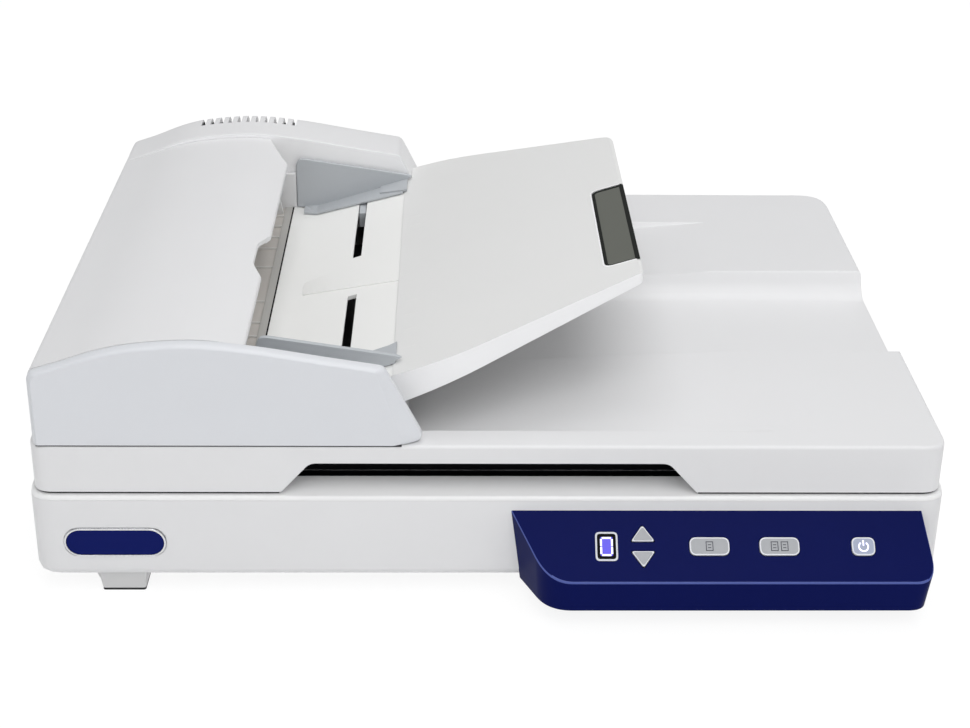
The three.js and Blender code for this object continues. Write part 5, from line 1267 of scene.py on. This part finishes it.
# Behind the path: its raised end and the block beside the rear guide
back = feeder["rear"] - bed["endGap"]
front = feeder["centre"] + bed["pathHalf"] - bed["endLap"]
line = box(bed["blockLeft"], bed["start"] - bed["endSide"], front, back)
low, high = bed["pathFloor"] - bed["endLow"], bed["pathFloor"] + bed["endRise"]
settle(walls(line, low, high, "pathEnd"), "lid", "path_grey")
right = guide["left"] - bed["blockGap"]
line = cornered(bed["blockLeft"], right, back - bed["blockDepth"], back, bed["blockCorner"], 4)
low = bed["pathFloor"] - bed["blockLow"]
settle(prism("pathBlock", "z", line, low, bed["blockTop"], 0, bed["blockEdge"]), "lid", "shell_white")
ribs = []
for y in bed["ribs"]:
    ribs.append(box(bed["path"] + bed["ribStart"], marginLeft, y - bed["ribHalf"], y + bed["ribHalf"]))
# The ribs' lighter tone is a painted highlight on their tops
pathRibs = tiles("pathRibs", ribs, bed["ribLow"], bed["ribHigh"], bed["ribEdge"])
settle(pathRibs, "lid", ribWhite, "path_grey")


# A slab parallel to the tray's plane, between two depths under it
def slab(name, x0, x1, y0, y1, top, bottom):
    lean = math.cos(tray["slope"])
    line = [
        (x0, planeZ(x0) - bottom / lean), (x1, planeZ(x1) - bottom / lean),
        (x1, planeZ(x1) - top / lean), (x0, planeZ(x0) - top / lean),
    ]
    return prism(name, "y", line, y0, y1)


def trayPlan(inset=0.0):
    x0, x1 = tray["start"] + inset, tray["tip"] - inset
    y0, front, rear = tray["half"] - inset, inset - tray["tipFront"], tray["tipRear"] - inset
    bend = tray["tipRound"] - inset
    return rounded([
        (x0, -y0), (tray["corner"], -y0, tray["bend"]), (x1, front, min(bend, tray["frontRound"])),
        (x1, rear, bend), (tray["corner"], y0, tray["bend"]), (x0, y0),
    ], 14)


# The tray's extension: a plate in a channel, with a raised grip at the tip
extension = {
    "front": -90, "rear": 20, "length": 100, "thick": 2.6, "gap": 0.3, "wall": 2, "stop": 0.5,
    "grip": 19.5, "corner": 5, "gripTop": 0.55, "gripMore": 1, "above": 6, "rimTop": 0.25,
    "rimDeep": 1.2, "rimSide": 1.8, "rimEnd": 2.6, "rimSoft": 0.2, "rimBand": 0.6, "sharper": 40,
    "lipLeft": 2, "lipTop": -0.25, "lipDeep": 0.5, "lipWide": 1.0, "lipPast": 4,
}


def gripPlan(grow, reach):
    x0 = tray["tip"] - extension["grip"] - grow
    y0, y1, corner = extension["front"] - grow, extension["rear"] + grow, extension["corner"]
    return rounded([(x0, y0, corner), (reach, y0), (reach, y1), (x0, y1, corner)], 8)


# Upright walls that are cut off at the CAD's height
def trayWalls(line):
    return walls(line, tray["low"], cadBox[1][2] / mm - tray["spare"])


start, tip, half = tray["start"], tray["tip"], tray["half"]
beyond, gap = tip + tray["past"], extension["gap"]
run = extension["length"] * math.cos(tray["slope"])
channel = tip - run - extension["stop"]
channelTop = tray["skin"] + gap
channelFloor = channelTop + extension["thick"] + gap
side = [
    (start, planeZ(start) - tray["deep"]), (tip, planeZ(tip) - tray["shallow"]), (tip, planeZ(tip)),
    (start, planeZ(start)),
]
trayShell = common(prism("trayShell", "y", side, -half, half), trayWalls(trayPlan()))
room = common(
    trayWalls(trayPlan(tray["skirt"])),
    slab("room", start - tray["more"], tip, -half, half, tray["skin"], 2 * tray["deep"]),
)
cut(trayShell, room)
wall = extension["wall"]
sleeve = slab(
    "sleeve", channel - wall, tip, extension["front"] - gap - wall, extension["rear"] + gap + wall,
    tray["skin"] / 2, tray["shallow"] * math.cos(tray["slope"]),
)
join(trayShell, common(sleeve, trayWalls(trayPlan())))
front, rear = extension["front"] - gap, extension["rear"] + gap
slot = slab("slot", channel, beyond, front, rear, tray["skin"], channelFloor)
grip = slab("grip", channel, beyond, -half, half, -extension["above"], channelFloor)
capLap, capEnd = feeder["rear"] - tray["capLap"], feeder["capRear"] + tray["more"]
cut(
    trayShell, slot, common(trayWalls(gripPlan(gap, beyond)), grip),
    prism("capRoom", "y", inward(capLine(), -tray["capGap"]), capLap, capEnd),
)


def onTrayRim(middle):
    return middle.z > planeZ(middle.x) - tray["rimBand"] and middle.x > tray["start"] + tray["more"]


ease(trayShell, tray["edge"], onTrayRim, 4, tray["sharper"])
# Painted light and shade: the skirt faces take a lighter white and the underside a darker one
for face in trayShell.data.polygons:
    if face.normal.z < tray["underTurn"]:
        face.material_index = 2
    elif face.normal.y < tray["skirtTurn"] and face.normal.z < tray["skirtUp"]:
        face.material_index = 1
settle(trayShell, "lid", trayWhite, "shell_white", ["input_tray"], edging=[skirtWhite, trayUnder])


# A slab under the grip: its length and its two depths
def gripSlab(name, length, top, bottom):
    return slab(name, tip - length, tip, extension["front"], extension["rear"], top, bottom)


# Smoked extension with a darker rim around its grip
plate = gripSlab("trayExtension", run, channelTop, channelTop + extension["thick"])
grip = gripSlab("grip", extension["grip"], extension["gripTop"], channelTop + extension["gripMore"])
grip = common(grip, trayWalls(gripPlan(0, tip)))
settle(join(plate, grip), "extension", "extension_grey", stands=["tray_extension"])
rim = gripSlab("gripRim", extension["grip"], extension["rimTop"], extension["rimDeep"])
common(rim, trayWalls(gripPlan(0, tip)))
inner = inward(gripPlan(0, tip - extension["rimEnd"] + extension["rimSide"]), extension["rimSide"])
cut(rim, trayWalls(inner))


def onGripRim(middle):
    return middle.z > planeZ(middle.x) - extension["rimBand"]


ease(rim, extension["rimSoft"], onGripRim, 2, extension["sharper"])
settle(rim, "extension", smokeRim, "extension_grey")

# Painted highlight: a bright lip around the extension's recess
left = tip - extension["grip"] - extension["lipLeft"]
lip = common(
    slab("recessLip", left, tip, -half, half, extension["lipTop"], extension["lipDeep"]),
    trayWalls(gripPlan(gap + extension["lipWide"], tip)),
)
cut(lip, trayWalls(gripPlan(gap, tip + extension["lipPast"])))
settle(lip, "lid", skirtWhite, "shell_white")

# Size marks: short raised lines on the tray
sizeMark = {
    "from": 5, "to": 12, "half": 0.25, "top": -0.05, "deep": 0.1,
    "places": (-62, -80, -99, -121, 48, 62),
}
left, right, reach = start + sizeMark["from"], start + sizeMark["to"], sizeMark["half"]
marked = []
for y in sizeMark["places"]:
    marked.append(slab("mark", left, right, y - reach, y + reach, sizeMark["top"], sizeMark["deep"]))
settle(gather("sizeMarks", marked), "lid", markShade, "shell_white")


def onGuide(middle):
    return middle.z > guide["softFrom"]


for side, body in (("rear", "rear_guide"), ("front", "front_guide")):
    sign = 1 if side == "rear" else -1
    reaches = (guide["inner"] - guide["proud"], guide["inner"] + guide["wall"] + guide["proud"])
    y0, y1 = sorted(feeder["centre"] + sign * reach for reach in reaches)
    left, right, beak = guide["left"], guide["right"], guide["beak"]
    line = [(x, bedZ(x) + guide["sole"]) for x in (left, tray["levelX"], right)]
    line += [
        (right, planeZ(right) + guide["rightLow"]), (beak, planeZ(beak) + guide["beakRise"]),
        (right, planeZ(right) + guide["rightTop"]), (left, guide["leftTop"], guide["round"]),
    ]
    fin = prism(side + "Fin", "y", rounded(line, 10), y0, y1, guide["edge"], guide["edge"], 3)
    settle(fin, body, "guide_grey")
    left, end, inner = guide["toe"], right + guide["toeMore"], guide["inner"]
    plan = [(left, guide["toeLeft"]), (end, guide["toeRight"]), (end, inner), (left, inner)]
    plan = [(x, feeder["centre"] + sign * reach) for x, reach in plan]
    half, end = guide["toeHalf"], right + guide["toePast"]
    toe = slab(side + "Toe", left, end, -half, half, guide["toeTop"], guide["toeDeep"])
    settle(common(toe, walls(plan, guide["low"], guide["high"])), body, "guide_grey")
    whole = ease(copied("guide_" + side, side + "Guide"), guide["soft"], onGuide, 2, guide["sharper"])
    settle(whole, body, "guide_grey", stands=["guide_" + side])
print("feeder made")

# The rest of the CAD nodes keep their solids and get their finishes
slotOf = {}
for row in frame["record"]["materials"]:
    for node in row.get("nodes", []):
        slotOf[node] = row["slot"]
for name, node in nodes.items():
    if node.hide_render:
        continue
    slot = slotOf.get(name) or (node.material_slots[0].name if node.material_slots else "shell_white")
    node.material_slots[0].material = finishes[slot]
print("finishes on the carried nodes")

# A pale floor that the camera sees as white around the scanner's shadow
stage = {
    "half": 4000, "drop": 0.05, "matt": 0.93, "bright": 1.08, "share": 0.82,
    "sky": 0.44, "skyAhead": 0.20, "skyTint": (0.985, 0.99, 1.0), "aim": 60,
}
floorPaint = Paint("paleFloor")
rays = [
    floorPaint.node("ShaderNodeLightPath", {}, (), ray)
    for ray in ("Is Camera Ray", "Is Glossy Ray", "Is Transmission Ray")
]
seen = (rays[0] + rays[1] + rays[2]).maths("MINIMUM", 1.0)
matt = floorPaint.node("ShaderNodeBsdfDiffuse", {}, {"Color": (stage["matt"],) * 3})
bright = floorPaint.node("ShaderNodeEmission", {}, {"Color": (1, 1, 1), "Strength": stage["bright"]})
mixed = floorPaint.node("ShaderNodeMixShader", {}, [seen * stage["share"], matt, bright])
floorPaint.node("ShaderNodeOutputMaterial", {}, {"Surface": mixed})
corners = [at(x, y, 0) for x, y in box(-stage["half"], stage["half"], -stage["half"], stage["half"])]
floor = meshFrom("floor", corners, [(0, 1, 2, 3)])
floor.location.z = -stage["drop"] * mm
floor.data.materials.append(floorPaint.material)

# The sky is brighter on the side that the front faces
world = bpy.data.worlds.new("studio")
bpy.context.scene.world = world
sky = Paint("studio", world)
ahead = sky.node("ShaderNodeTexCoord", {}, (), 0).part(1)
glow = stage["sky"] - ahead * stage["skyAhead"]
soft = sky.node("ShaderNodeBackground", {}, {"Color": stage["skyTint"], "Strength": glow})
white = sky.node("ShaderNodeBackground", {}, {"Color": (1, 1, 1), "Strength": 1.0})
swap = sky.node("ShaderNodeMixShader", {}, [sky.node("ShaderNodeLightPath", {}, (), 0), soft, white])
sky.node("ShaderNodeOutputWorld", {}, {"Surface": swap})

lights = {
    "key": {"spot": (170, -1100, 1650), "size": 1300, "power": 13.5},
    "back": {"spot": (140, 450, 1750), "size": 1500, "power": 11},
}
for name, values in lights.items():
    data = bpy.data.lights.new(name, "AREA")
    data.shape = "SQUARE"
    data.size = values["size"] * mm
    data.energy = values["power"]
    lampObject = bpy.data.objects.new(name, data)
    lampObject.location = at(*values["spot"])
    aim = at(0, 0, stage["aim"]) - lampObject.location
    lampObject.rotation_euler = aim.to_track_quat("-Z", "Y").to_euler()
    bpy.context.scene.collection.objects.link(lampObject)

# Camera: its reach and middle in pixels, its turns in radians and how far it sees in metres
shot = {
    "reach": 1733.0131, "down": 0.425, "turn": 0.0218, "roll": -0.0128,
    "spot": (-21.5661, -976.9693, 574.5188), "width": 970, "height": 728, "middle": (485, 248),
    "sensor": 36, "far": 50,
}
turn, down, roll = shot["turn"], shot["down"], shot["roll"]
ahead = Vector((math.sin(turn) * math.cos(down), math.cos(turn) * math.cos(down), -math.sin(down)))
level = Vector((math.cos(turn), -math.sin(turn), 0))
below = ahead.cross(level)
rightwards = level * math.cos(roll) + below * math.sin(roll)
downwards = below * math.cos(roll) - level * math.sin(roll)
view = bpy.data.cameras.new("view")
view.sensor_fit = "HORIZONTAL"
view.sensor_width = shot["sensor"]
view.lens = shot["reach"] * shot["sensor"] / shot["width"]
view.shift_x = (shot["width"] / 2 - shot["middle"][0]) / shot["width"]
view.shift_y = (shot["middle"][1] - shot["height"] / 2) / shot["width"]
view.clip_end = shot["far"]
camera = bpy.data.objects.new("view", view)
turned = Matrix((rightwards, -downwards, -ahead)).transposed().to_4x4()
camera.matrix_world = Matrix.Translation(at(*shot["spot"])) @ turned
bpy.context.scene.collection.objects.link(camera)
bpy.context.scene.camera = camera
bpy.context.scene.view_settings.view_transform = "Standard"
print("stage made")
